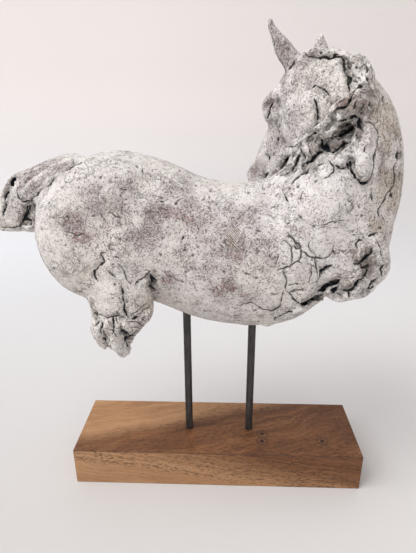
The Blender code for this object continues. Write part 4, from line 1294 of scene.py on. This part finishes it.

# Patches of colour: (pixel, radius across and down, strength). The slip is rubbed clean in places
# and shows the mauve body in others, and iron bleeds brick red out of the grog. Some pale patches
# are painted light on the shaded underside, and some mauve ones are painted shade. The dark grey
# patches are painted shade in hollows and creases, and the tan patches are dust and painted shade
# where the surface turns from the light.
PATCHES = {
    # Pale slip, rubbed clean, and painted light on the underside and the thigh where shade falls.
    "clean_and_lit": (
        ((112, 166), (44, 12), 1.0),
        ((150, 182), (22, 10), 0.7),
        ((170, 176), (20, 10), 0.8),
        ((215, 190), (44, 10), 0.9),
        ((262, 200), (20, 14), 0.6),
        ((300, 192), (24, 10), 0.7),
        ((330, 200), (26, 16), 0.6),
        ((325, 245), (18, 10), 0.6),
        ((180, 232), (12, 12), 0.5),
        ((55, 200), (10, 22), 0.6),
        ((60, 262), (12, 26), 0.8),
        ((104, 298), (12, 12), 0.8),
        ((120, 345), (9, 8), 0.8),
        ((320, 72), (14, 10), 0.5),
        ((363, 172), (8, 10), 0.6),
        ((320, 128), (5, 4), 1.0),
        ((330, 54), (16, 3), 0.8),
        ((180, 302), (30, 7), 1.5),
        ((76, 272), (14, 20), 1.0),
        ((328, 106), (5, 13), 1.1),
        ((360, 176), (7, 8), 1.1),
        ((386, 182), (5, 10), 1.0),
        ((347, 203), (9, 9), 0.7),
    ),
    # Mauve body showing through the slip; some patches, in the mane and round the near ear, are painted
    # shade.
    "stain_and_shade": (
        ((74, 222), (20, 13), 0.75),
        ((82, 236), (16, 8), 0.65),
        ((98, 188), (14, 10), 0.55),
        ((108, 212), (26, 17), 0.7),
        ((156, 222), (13, 22), 1.15),
        ((138, 238), (15, 10), 0.8),
        ((178, 207), (22, 13), 0.85),
        ((198, 224), (18, 14), 0.75),
        ((235, 232), (28, 18), 0.8),
        ((228, 252), (17, 12), 0.85),
        ((252, 218), (12, 9), 0.6),
        ((222, 288), (22, 15), 0.6),
        ((246, 292), (12, 10), 0.7),
        ((262, 240), (14, 12), 0.5),
        ((168, 279), (9, 7), 0.8),
        ((190, 265), (14, 8), 0.45),
        ((303, 232), (11, 9), 0.6),
        ((350, 250), (14, 12), 0.35),
        ((30, 184), (20, 13), 0.4),
        ((12, 215), (12, 10), 0.25),
        ((282, 52), (13, 20), 1.0),
        ((300, 64), (10, 8), 0.7),
        ((321, 40), (8, 6), 0.9),
        ((268, 100), (9, 10), 0.7),
        ((296, 112), (16, 20), 0.35),
        ((256, 168), (8, 8), 0.8),
        ((366, 140), (8, 13), 0.8),
        ((380, 160), (4, 20), 0.9),
        ((276, 143), (14, 20), 0.25),
        ((135, 300), (10, 12), 0.2),
        ((48, 166), (28, 8), 0.8),
        ((300, 76), (22, 14), 0.6),
        ((290, 92), (16, 10), 0.4),
        ((270, 26), (5, 10), 1.0),
        ((240, 212), (34, 14), 0.5),
        ((200, 245), (26, 16), 0.6),
        ((225, 272), (30, 14), 0.6),
        ((262, 262), (18, 20), 0.45),
        ((168, 200), (10, 8), 0.7),
        ((140, 247), (8, 8), 0.8),
        ((180, 190), (24, 12), 0.5),
        ((118, 196), (26, 16), 0.5),
        ((330, 82), (14, 10), 0.3),
        ((358, 104), (10, 8), 0.9),
        ((343, 104), (8, 5), 0.9),
        ((333, 143), (12, 5), 1.0),
        ((312, 146), (6, 6), 0.6),
        ((143, 312), (10, 10), 0.35),
        ((140, 322), (10, 8), 0.7),
    ),
    "brick": (
        ((167, 281), (6, 4), 1.0),
        ((186, 265), (9, 5), 0.5),
        ((230, 252), (12, 8), 0.7),
        ((222, 288), (16, 9), 0.8),
        ((245, 292), (9, 6), 0.7),
        ((252, 222), (14, 9), 0.6),
        ((70, 218), (10, 8), 0.6),
        ((82, 236), (14, 6), 0.8),
        ((183, 212), (16, 10), 0.7),
        ((113, 285), (5, 3), 0.7),
        ((88, 268), (6, 4), 0.5),
        ((299, 232), (9, 8), 0.5),
        ((30, 182), (12, 10), 0.4),
        ((345, 103), (7, 4), 0.8),
        ((366, 102), (5, 8), 0.6),
        ((132, 327), (8, 6), 0.6),
        ((300, 122), (10, 10), 0.3),
    ),
    # Painted shade: dark grey in the mane's hollows, under the breast, at the stump and down the neck's
    # shaded edge.
    "painted_shade": (
        ((356, 106), (13, 13), 0.75),
        ((322, 138), (12, 12), 0.9),
        ((313, 137), (5, 5), 1.1),
        ((345, 122), (16, 12), 1.0),
        ((333, 143), (14, 6), 0.9),
        ((288, 170), (12, 8), 0.9),
        ((300, 158), (16, 12), 0.5),
        ((350, 148), (10, 8), 0.6),
        ((345, 166), (8, 5), 0.6),
        ((348, 74), (4.5, 18), 0.7),
        ((283, 60), (12, 16), 0.4),
        ((275, 38), (8, 20), 0.35),
        ((270, 100), (9, 10), 0.4),
        ((370, 266), (16, 18), 0.85),
        ((340, 290), (18, 8), 0.85),
        ((362, 292), (16, 7), 0.6),
        ((126, 334), (6, 8), 0.6),
        ((104, 336), (6, 8), 0.4),
        ((50, 166), (26, 6), 0.3),
        ((28, 211), (3, 10), 0.5),
        ((150, 283), (5, 10), 0.9),
        ((325, 146), (7, 7), 2.0),
        ((358, 126), (6, 12), 1.8),
        ((372, 96), (6, 9), 0.8),
        ((313, 139), (5, 6), 1.8),
        ((352, 146), (6, 8), 0.8),
        ((359, 112), (8, 7), 1.4),
        ((361, 98), (9, 9), 0.6),
        ((371, 106), (5, 14), 0.7),
        ((311, 167), (8, 6), 0.9),
        ((361, 72), (9, 12), 0.4),
        ((50, 177), (8, 7), 0.8),
        ((5, 190), (6, 14), 0.7),
        ((345, 113), (9, 6), 1.0),
        ((92, 304), (4, 10), 0.8),
        ((137, 320), (8, 7), 0.6),
        ((286, 55), (6, 8), 0.5),
        ((362, 78), (6, 6), 0.5),
        ((338, 143), (13, 6), 1.1),
        ((305, 171), (7, 5), 1.0),
        ((366, 92), (6, 14), 0.8),
        ((358, 122), (7, 9), 0.9),
        ((399, 170), (5, 55), 0.45),
    ),
    # Tan dust, and painted shade on the side of the neck and the breast that turns from the light.
    "dust_and_shade": (
        ((388, 130), (14, 34), 0.9),
        ((392, 185), (14, 34), 0.9),
        ((380, 225), (12, 18), 0.7),
        ((366, 262), (18, 18), 0.8),
        ((350, 282), (18, 12), 0.6),
        ((375, 90), (10, 12), 0.7),
        ((358, 104), (14, 14), 1.0),
        ((374, 112), (8, 20), 0.9),
        ((352, 128), (12, 10), 0.7),
        ((148, 305), (8, 14), 0.5),
        ((128, 332), (8, 10), 0.5),
        ((14, 224), (14, 6), 0.4),
        ((315, 148), (9, 8), 0.5),
    ),
}
# How much of each there is on the far side, which has no patches of its own.
HIDDEN_SHARE = {"clean_and_lit": 0.8, "stain_and_shade": 0.9, "brick": 0.5, "painted_shade": 0.25, "dust_and_shade": 0.3}
PATCH_SEED, HIDDEN_SEED = 3, 4
PATCH_EDGE, PATCH_UNEVENNESS = 0.8, 0.35
CLOUD_MIDDLE, CLOUD_SWING = 0.4, 0.8
drawn, deep = pixels_of(places)
front = np.clip(toward_eye(places, normals) * FRONT_FADE, 0, 1)
painted_on = {"crack": crack, "deep": deep_crack, "crack_halo": crack_halo, "torn": torn, "comb": comb_print}
for number, (name, patches) in enumerate(PATCHES.items()):
    strength_here = np.zeros(len(places))
    for spot, radii, strength in patches:
        off = (drawn - spot) / radii
        patch = strength * np.exp(-PATCH_EDGE * (off * off).sum(1))
        strength_here = np.maximum(strength_here, patch)
    strength_here *= 1 + PATCH_UNEVENNESS * ripple(places, waves_mm=11, seed=PATCH_SEED)
    cloud = CLOUD_SWING * ripple(places, waves_mm=60, seed=HIDDEN_SEED + number)
    cloud = np.clip(CLOUD_MIDDLE + cloud, 0, 1)
    painted_on[name] = strength_here * front + HIDDEN_SHARE[name] * cloud * (1 - front)


def keep_on(mesh, values_by_name):
    """Keeps values at the mesh's corners, for the material to read."""
    for name, values in values_by_name.items():
        kept = mesh.attributes.new(name, "FLOAT", "POINT")
        kept.data.foreach_set("value", values.astype(np.float32))


keep_on(clay_mesh, painted_on)
clay_mesh.update()

# The worked surface: dents of thumb and tool, then a coarse crust, and pits left by burnt-out grog.
# Where the clay was torn, flakes with open gaps between them stand up too.
CRUST = {
    "Dents per metre": 55.0,
    "Dent depth": 0.0016,
    "Crumbs per metre": 210.0,
    "Crumb depth": 0.0012,
    "Pits per metre": 150.0,
    "Pit depth": 0.0009,
    "Flakes per metre": 150.0,
    "Flake depth": 0.0011,
}
UNPITTED_SHARE, WHOLE_FLAKES_SHARE, FLAKE_MIDDLE = 0.86, 0.35, 0.45
FLAKE_BENDS_PER_METRE, FLAKE_BEND = 160.0, 0.008
ROUGHER_WHERE_TORN = 0.8
crust_maker, given, result = new_tree(
    "worked_clay",
    "GeometryNodeTree",
    {"Clay": "Geometry", **dict.fromkeys(CRUST, "Float"), "Finish": "Material"},
    {"Clay": "Geometry"},
)
spot = put(crust_maker, "GeometryNodeInputPosition").outputs[0]
torn_here = put(crust_maker, "GeometryNodeInputNamedAttribute", {"Name": "torn"}, data_type="FLOAT")
torn_here = torn_here.outputs["Attribute"]
dents = reckon(crust_maker, "SUBTRACT", cloudy(crust_maker, spot, scale=given["Dents per metre"]), 0.5)
dents = reckon(crust_maker, "MULTIPLY", dents, given["Dent depth"])
crumbs = cloudy(crust_maker, spot, scale=given["Crumbs per metre"], detail=3.0, roughness=0.6)
crumbs = reckon(crust_maker, "SUBTRACT", crumbs, 0.5)
crumbs = reckon(crust_maker, "MULTIPLY", crumbs, given["Crumb depth"])
rougher = reckon(crust_maker, "MULTIPLY", torn_here, ROUGHER_WHERE_TORN)
crumbs = reckon(crust_maker, "MULTIPLY", crumbs, reckon(crust_maker, "ADD", rougher, 1.0))


def chance_of(cells, channel):
    """A random number for each cell, from a channel of its colour."""
    return put(crust_maker, "FunctionNodeSeparateColor", {0: cells.outputs["Color"]}).outputs[channel]


pit_cells = put(crust_maker, "ShaderNodeTexVoronoi", {"Vector": spot, "Scale": given["Pits per metre"]})
pitted = reckon(crust_maker, "GREATER_THAN", chance_of(pit_cells, 0), UNPITTED_SHARE)
pits = rise(crust_maker, pit_cells.outputs["Distance"], low=0.12, high=0.30, to_low=1.0, to_high=0.0)
pits = reckon(crust_maker, "MULTIPLY", pits, pitted)


def bent_places(tree, places, per_metre, detail, by):
    """The places shifted about a little, so that the edges of cells don't run straight."""
    sockets = {"Vector": places, "Scale": per_metre, "Detail": detail}
    shift = put(tree, "ShaderNodeTexNoise", sockets).outputs["Color"]
    shift = put(tree, "ShaderNodeVectorMath", {0: shift, "Scale": by}, operation="SCALE").outputs[0]
    return put(tree, "ShaderNodeVectorMath", {0: places, 1: shift}, operation="ADD").outputs[0]


flake_spot = bent_places(crust_maker, spot, per_metre=FLAKE_BENDS_PER_METRE, detail=2.0, by=FLAKE_BEND)
sockets = {"Vector": flake_spot, "Scale": given["Flakes per metre"]}
flake_cells = put(crust_maker, "ShaderNodeTexVoronoi", sockets)
flake_edges = put(crust_maker, "ShaderNodeTexVoronoi", sockets, feature="DISTANCE_TO_EDGE")
flake_chance = chance_of(flake_cells, 1)
gap = rise(crust_maker, flake_edges.outputs["Distance"], low=0.0, high=0.16, to_low=1.0, to_high=0.0)
open_gap = reckon(crust_maker, "GREATER_THAN", flake_chance, WHOLE_FLAKES_SHARE)
gap = reckon(crust_maker, "MULTIPLY", gap, open_gap)
flakes = reckon(crust_maker, "SUBTRACT", flake_chance, FLAKE_MIDDLE)
flakes = reckon(crust_maker, "SUBTRACT", flakes, gap)
flakes = reckon(crust_maker, "MULTIPLY", flakes, torn_here)
flakes = reckon(crust_maker, "MULTIPLY", flakes, given["Flake depth"])
sunk = reckon(crust_maker, "MULTIPLY", pits, given["Pit depth"])
height = reckon(crust_maker, "ADD", dents, crumbs)
height = reckon(crust_maker, "SUBTRACT", height, sunk)
height = reckon(crust_maker, "ADD", height, flakes)
sockets = {"Geometry": given["Clay"], "Name": "pit", "Value": pits}
pit_kept = put(crust_maker, "GeometryNodeStoreNamedAttribute", sockets, data_type="FLOAT").outputs[0]
crusted = finished(crust_maker, pit_kept, outwards(crust_maker, height), given["Finish"])
crust_maker.links.new(crusted, result["Clay"])

# The slip: warm white over a mauve-grey body, rubbed back so that the body shows in specks.
COOL_WHITE, WARM_WHITE = (0.735, 0.715, 0.72, 1), (0.75, 0.72, 0.685, 1)
THIN_SLIP, MOTTLED_SLIP = (0.42, 0.37, 0.375), (0.42, 0.37, 0.365)
CLEAN_SLIP_AND_LIGHT, RUBBED_RIDGE_AND_HIGHLIGHT = (0.73, 0.695, 0.63), (0.80, 0.78, 0.75)
MAUVE_BODY_AND_SHADE, TAN_DUST_AND_SHADE = (0.29, 0.235, 0.24), (0.44, 0.36, 0.26)
FINE_SPECK, NICK, PIT = (0.16, 0.12, 0.115), (0.125, 0.095, 0.085), (0.07, 0.06, 0.055)
IRON_SPOT, BRICK_SPOT = (0.12, 0.082, 0.085, 1), (0.27, 0.085, 0.06, 1)
BRICK_BLOT, CRACKLE = (0.23, 0.10, 0.075), (0.17, 0.165, 0.12)
TORN_BODY, PAINTED_SHADE_GREY = (0.30, 0.275, 0.25), (0.125, 0.11, 0.10)
OXIDE_AND_SHADE, CRACK_HALO_GREY = (0.085, 0.083, 0.080), (0.12, 0.115, 0.11)
COMB_RIDGE, COMB_GROOVE = (0.78, 0.75, 0.69), (0.13, 0.08, 0.06)
SHALLOW_CRACK, DEEP_CRACK_SHADE = (0.085, 0.085, 0.055, 1), (0.012, 0.016, 0.024, 1)
slip, tree, shader = new_material("rubbed_white_slip")
where = put(tree, "ShaderNodeTexCoord").outputs["Object"]


def painted(name):
    """A value that is kept on the mesh."""
    return put(tree, "ShaderNodeAttribute", attribute_name=name).outputs["Fac"]


def coat(base, colour, share, strength):
    """The base colour with a share of another laid over it."""
    return blend_colour(tree, reckon(tree, "MULTIPLY", share, strength), base, (*colour, 1))


def plus(value, more, strength=1.0):
    """The value with some of another added to it."""
    return reckon(tree, "ADD", value, reckon(tree, "MULTIPLY", more, strength))


def centred(pattern):
    """The pattern with its middle tone at nought."""
    return reckon(tree, "SUBTRACT", pattern, 0.5)


# Patterns of four sizes, from warm and cool areas down to single grains.
warm = cloudy(tree, where, scale=14.0)
uneven = centred(cloudy(tree, where, scale=60.0, detail=4.0, roughness=0.6))
mottle = cloudy(tree, where, scale=300.0, detail=4.0, roughness=0.7)
grain = cloudy(tree, where, scale=800.0)
stain_and_shade_here = rise(tree, plus(painted("stain_and_shade"), uneven, strength=1.1), low=0.0, high=0.9)
dust_and_shade_here = rise(tree, plus(painted("dust_and_shade"), uneven), low=0.1, high=1.0)
brick_here = rise(tree, plus(painted("brick"), uneven), low=0.25, high=0.65)
clean_and_lit_here = painted("clean_and_lit")

body = blend_colour(tree, rise(tree, warm, low=0.35, high=0.65), COOL_WHITE, WARM_WHITE)
thin_here = rise(tree, cloudy(tree, where, scale=110.0, detail=3.0), low=0.44, high=0.68)
body = coat(body, THIN_SLIP, thin_here, strength=0.36)
body = coat(body, MOTTLED_SLIP, rise(tree, mottle, low=0.42, high=0.66), strength=0.42)
# Pale clean slip, laid on also as painted light where the underside is in shade.
body = coat(body, CLEAN_SLIP_AND_LIGHT, clean_and_lit_here, strength=0.3)
# The mauve body, and painted shade where some of the mauve patches lie.
body = coat(body, MAUVE_BODY_AND_SHADE, stain_and_shade_here, strength=0.62)
# Tan dust, which is also painted shade where the neck and breast turn from the light.
body = coat(body, TAN_DUST_AND_SHADE, dust_and_shade_here, strength=0.56)
# Pale rubbed ridges, which are also painted highlights.
body = coat(body, RUBBED_RIDGE_AND_HIGHLIGHT, painted("ridge"), strength=0.45)

# The specks lie closer where the body shows and under dust, also where these are painted shade, and
# thinner where the slip is clean or painted light.
SPECK_COVER, COARSE_COVER_SHARE, COARSE_STRENGTH = 0.16, 0.66, 0.62
speck_cover = plus(SPECK_COVER, stain_and_shade_here, strength=0.2)
speck_cover = plus(speck_cover, uneven, strength=0.3)
speck_cover = plus(speck_cover, dust_and_shade_here, strength=0.16)
speck_cover = plus(speck_cover, clean_and_lit_here, strength=-0.08)
fine_specks = speckled(tree, where, per_metre=820.0, cover=speck_cover, softness=0.09)
coarse_specks = speckled(
    tree,
    where,
    per_metre=480.0,
    cover=reckon(tree, "MULTIPLY", speck_cover, COARSE_COVER_SHARE),
    softness=0.06,
)
speck_tone = blend_colour(tree, brick_here, IRON_SPOT, BRICK_SPOT)
body = coat(body, FINE_SPECK, fine_specks, strength=0.66)
coarse_share = reckon(tree, "MULTIPLY", coarse_specks, COARSE_STRENGTH)
body = blend_colour(tree, coarse_share, body, speck_tone)
blots = reckon(
    tree,
    "MULTIPLY",
    speckled(tree, where, per_metre=420.0, cover=0.34, softness=0.06),
    brick_here,
)
body = coat(body, BRICK_BLOT, blots, strength=0.55)

bent = bent_places(tree, where, per_metre=130.0, detail=3.0, by=0.007)
CRACKLE_CORE, CRACKLE_FADE = 0.3, 0.12


def crackle_lines(per_metre, thick, gate):
    """A net of thin lines that comes and goes."""
    sockets = {"Vector": bent, "Scale": per_metre}
    cells = put(tree, "ShaderNodeTexVoronoi", sockets, feature="DISTANCE_TO_EDGE")
    away = cells.outputs["Distance"]
    lines = rise(tree, away, low=thick * CRACKLE_CORE, high=thick, to_low=1.0, to_high=0.0)
    here = rise(tree, cloudy(tree, where, scale=42.0), low=gate, high=gate + CRACKLE_FADE)
    return reckon(tree, "MULTIPLY", lines, here)


crackle = reckon(
    tree,
    "MAXIMUM",
    crackle_lines(per_metre=95.0, thick=0.045, gate=0.50),
    crackle_lines(per_metre=190.0, thick=0.06, gate=0.55),
)
body = coat(body, CRACKLE, crackle, strength=0.34)
# Nicks in the slip are a little longer than wide, some upright and some lying down.
NICK_COVER, NICK_SHAPES = 0.075, ((0.6, 1.0, 1.4), (1.5, 1.0, 0.6))
nick_cover = plus(NICK_COVER, uneven, strength=0.5)
for nick_shape in NICK_SHAPES:
    sockets = {0: bent, 1: nick_shape}
    nick_place = put(tree, "ShaderNodeVectorMath", sockets, operation="MULTIPLY").outputs[0]
    body = coat(
        body,
        NICK,
        speckled(tree, nick_place, per_metre=300.0, cover=nick_cover, softness=0.03),
        strength=0.66,
    )

body = coat(body, PIT, painted("pit"), strength=0.7)
body = coat(body, TORN_BODY, painted("torn"), strength=0.15)
crumbly = centred(mottle)
# Painted shade, broken up a little, where the dark grey patches lie.
painted_shade_here = plus(plus(painted("painted_shade"), uneven), crumbly, strength=2.4)
body = coat(body, PAINTED_SHADE_GREY, rise(tree, painted_shade_here, low=0.1, high=1.0), strength=0.72)
# Oxide in every hollow, which is also painted shade.
oxide_and_shade_here = plus(painted("hollow"), crumbly, strength=0.7)
body = coat(body, OXIDE_AND_SHADE, rise(tree, oxide_and_shade_here, low=0.2, high=1.0), strength=0.8)
# A faint darkening round the deeper cracks.
body = coat(body, CRACK_HALO_GREY, painted("crack_halo"), strength=0.3)
body = coat(body, COMB_RIDGE, rise(tree, painted("comb"), low=0.35, high=0.55), strength=0.55)
body = coat(body, COMB_GROOVE, rise(tree, painted("comb"), low=0.62, high=0.82), strength=0.85)

# A crack is drawn thin in some stretches and thick in others, and darker where it is deep, as stain
# and painted shade.
crack_edge = rise(tree, cloudy(tree, where, scale=150.0), low=0.35, high=0.65, to_low=0.5, to_high=0.72)
crack_line = reckon(tree, "SUBTRACT", plus(painted("crack"), centred(grain), strength=0.5), crack_edge)
crack_dark = rise(tree, painted("deep"), low=0.1, high=0.9, to_low=0.7, to_high=1.0)
crack_share = reckon(tree, "MULTIPLY", rise(tree, crack_line, low=0.0, high=0.2), crack_dark)
crack_tone = blend_colour(tree, painted("deep"), SHALLOW_CRACK, DEEP_CRACK_SHADE)
body = blend_colour(tree, crack_share, body, crack_tone)
tree.links.new(body, shader.inputs["Base Color"])
shader.inputs["Roughness"].default_value = 0.88
rough = plus(grain, mottle, strength=1.4)
rough = plus(rough, fine_specks, strength=-0.6)
rough = plus(rough, crackle, strength=-0.9)
bump = put(tree, "ShaderNodeBump", {"Strength": 1.0, "Distance": 0.0008, "Height": rough})
tree.links.new(bump.outputs["Normal"], shader.inputs["Normal"])

clay_mesh = made_by(crust_maker, "horse_clay", {**CRUST, "Finish": slip}, base=clay_mesh)


MOVED_SHARE = 0.6


def softened(places, edges, passes):
    """The skin's points after they move to the middle of their neighbours a few times over."""
    ends = np.concatenate([edges, edges[:, ::-1]])
    count = np.bincount(ends[:, 0], minlength=len(places))
    for step in range(passes):
        sums = [np.bincount(ends[:, 0], places[ends[:, 1], axis], len(places)) for axis in range(3)]
        middles = np.stack(sums, 1) / count[:, None]
        places = (1 - MOVED_SHARE) * places + MOVED_SHARE * middles
    return places


def share_between(values, low, high):
    """How far the values have come on the way from low to high, from 0 to 1."""
    return np.clip((values - low) / (high - low), 0, 1)


# Every hollow, small or broad, is darkened with oxide and painted shade, and the slip is rubbed
# pale and painted with a highlight on every ridge. Both are told by how far the softened skin lies
# above the skin itself.
SMALL_PASSES, BROAD_PASSES = 6, 55
SMALL_HOLLOWS, BROAD_HOLLOWS = 0.5, 0.8
SMALL_RIDGES, BROAD_RIDGES = 0.7, 0.5
places = corners_of(clay_mesh)
normals = normals_of(clay_mesh)
edges = np.empty(len(clay_mesh.edges) * 2, int)
clay_mesh.edges.foreach_get("vertices", edges)
edges = edges.reshape(-1, 2)
small = ((softened(places, edges, SMALL_PASSES) - places) * normals).sum(1) / MM
broad = ((softened(places, edges, BROAD_PASSES) - places) * normals).sum(1) / MM
hollow = SMALL_HOLLOWS * share_between(small, low=0.0, high=0.35)
hollow += BROAD_HOLLOWS * share_between(broad, low=0.35, high=1.95)
ridge = SMALL_RIDGES * share_between(-small, low=0.05, high=0.35)
ridge += BROAD_RIDGES * share_between(-broad, low=0.3, high=1.5)
keep_on(clay_mesh, {"hollow": np.clip(hollow, 0, 1), "ridge": np.clip(ridge, 0, 1)})

# The skin needs its small faces only where it bends, and under the print of the tool.
MOST_TRIANGLES = 190_000
clay_mesh.calc_loop_triangles()
thinner = bpy.data.objects.new("clay", clay_mesh)
bpy.context.scene.collection.objects.link(thinner)
fewer = thinner.modifiers.new("Fewer faces", "DECIMATE")
fewer.ratio = min(1.0, MOST_TRIANGLES / len(clay_mesh.loop_triangles))
printed = thinner.vertex_groups.new(name="printed")
beside_comb = to_comb(corners_of(clay_mesh), normals_of(clay_mesh)) < BESIDE_COMB_MM
printed.add(np.nonzero(beside_comb)[0].tolist(), 1.0, "REPLACE")
fewer.vertex_group = "printed"
fewer.invert_vertex_group = True
graph = bpy.context.evaluated_depsgraph_get()
clay_mesh = bpy.data.meshes.new_from_object(thinner.evaluated_get(graph))
bpy.data.objects.remove(thinner, do_unlink=True)
clay_mesh.name = "horse_clay"
horse = add_piece("horse_clay", clay_mesh, slip)
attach(horse, "root")
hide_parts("horse")
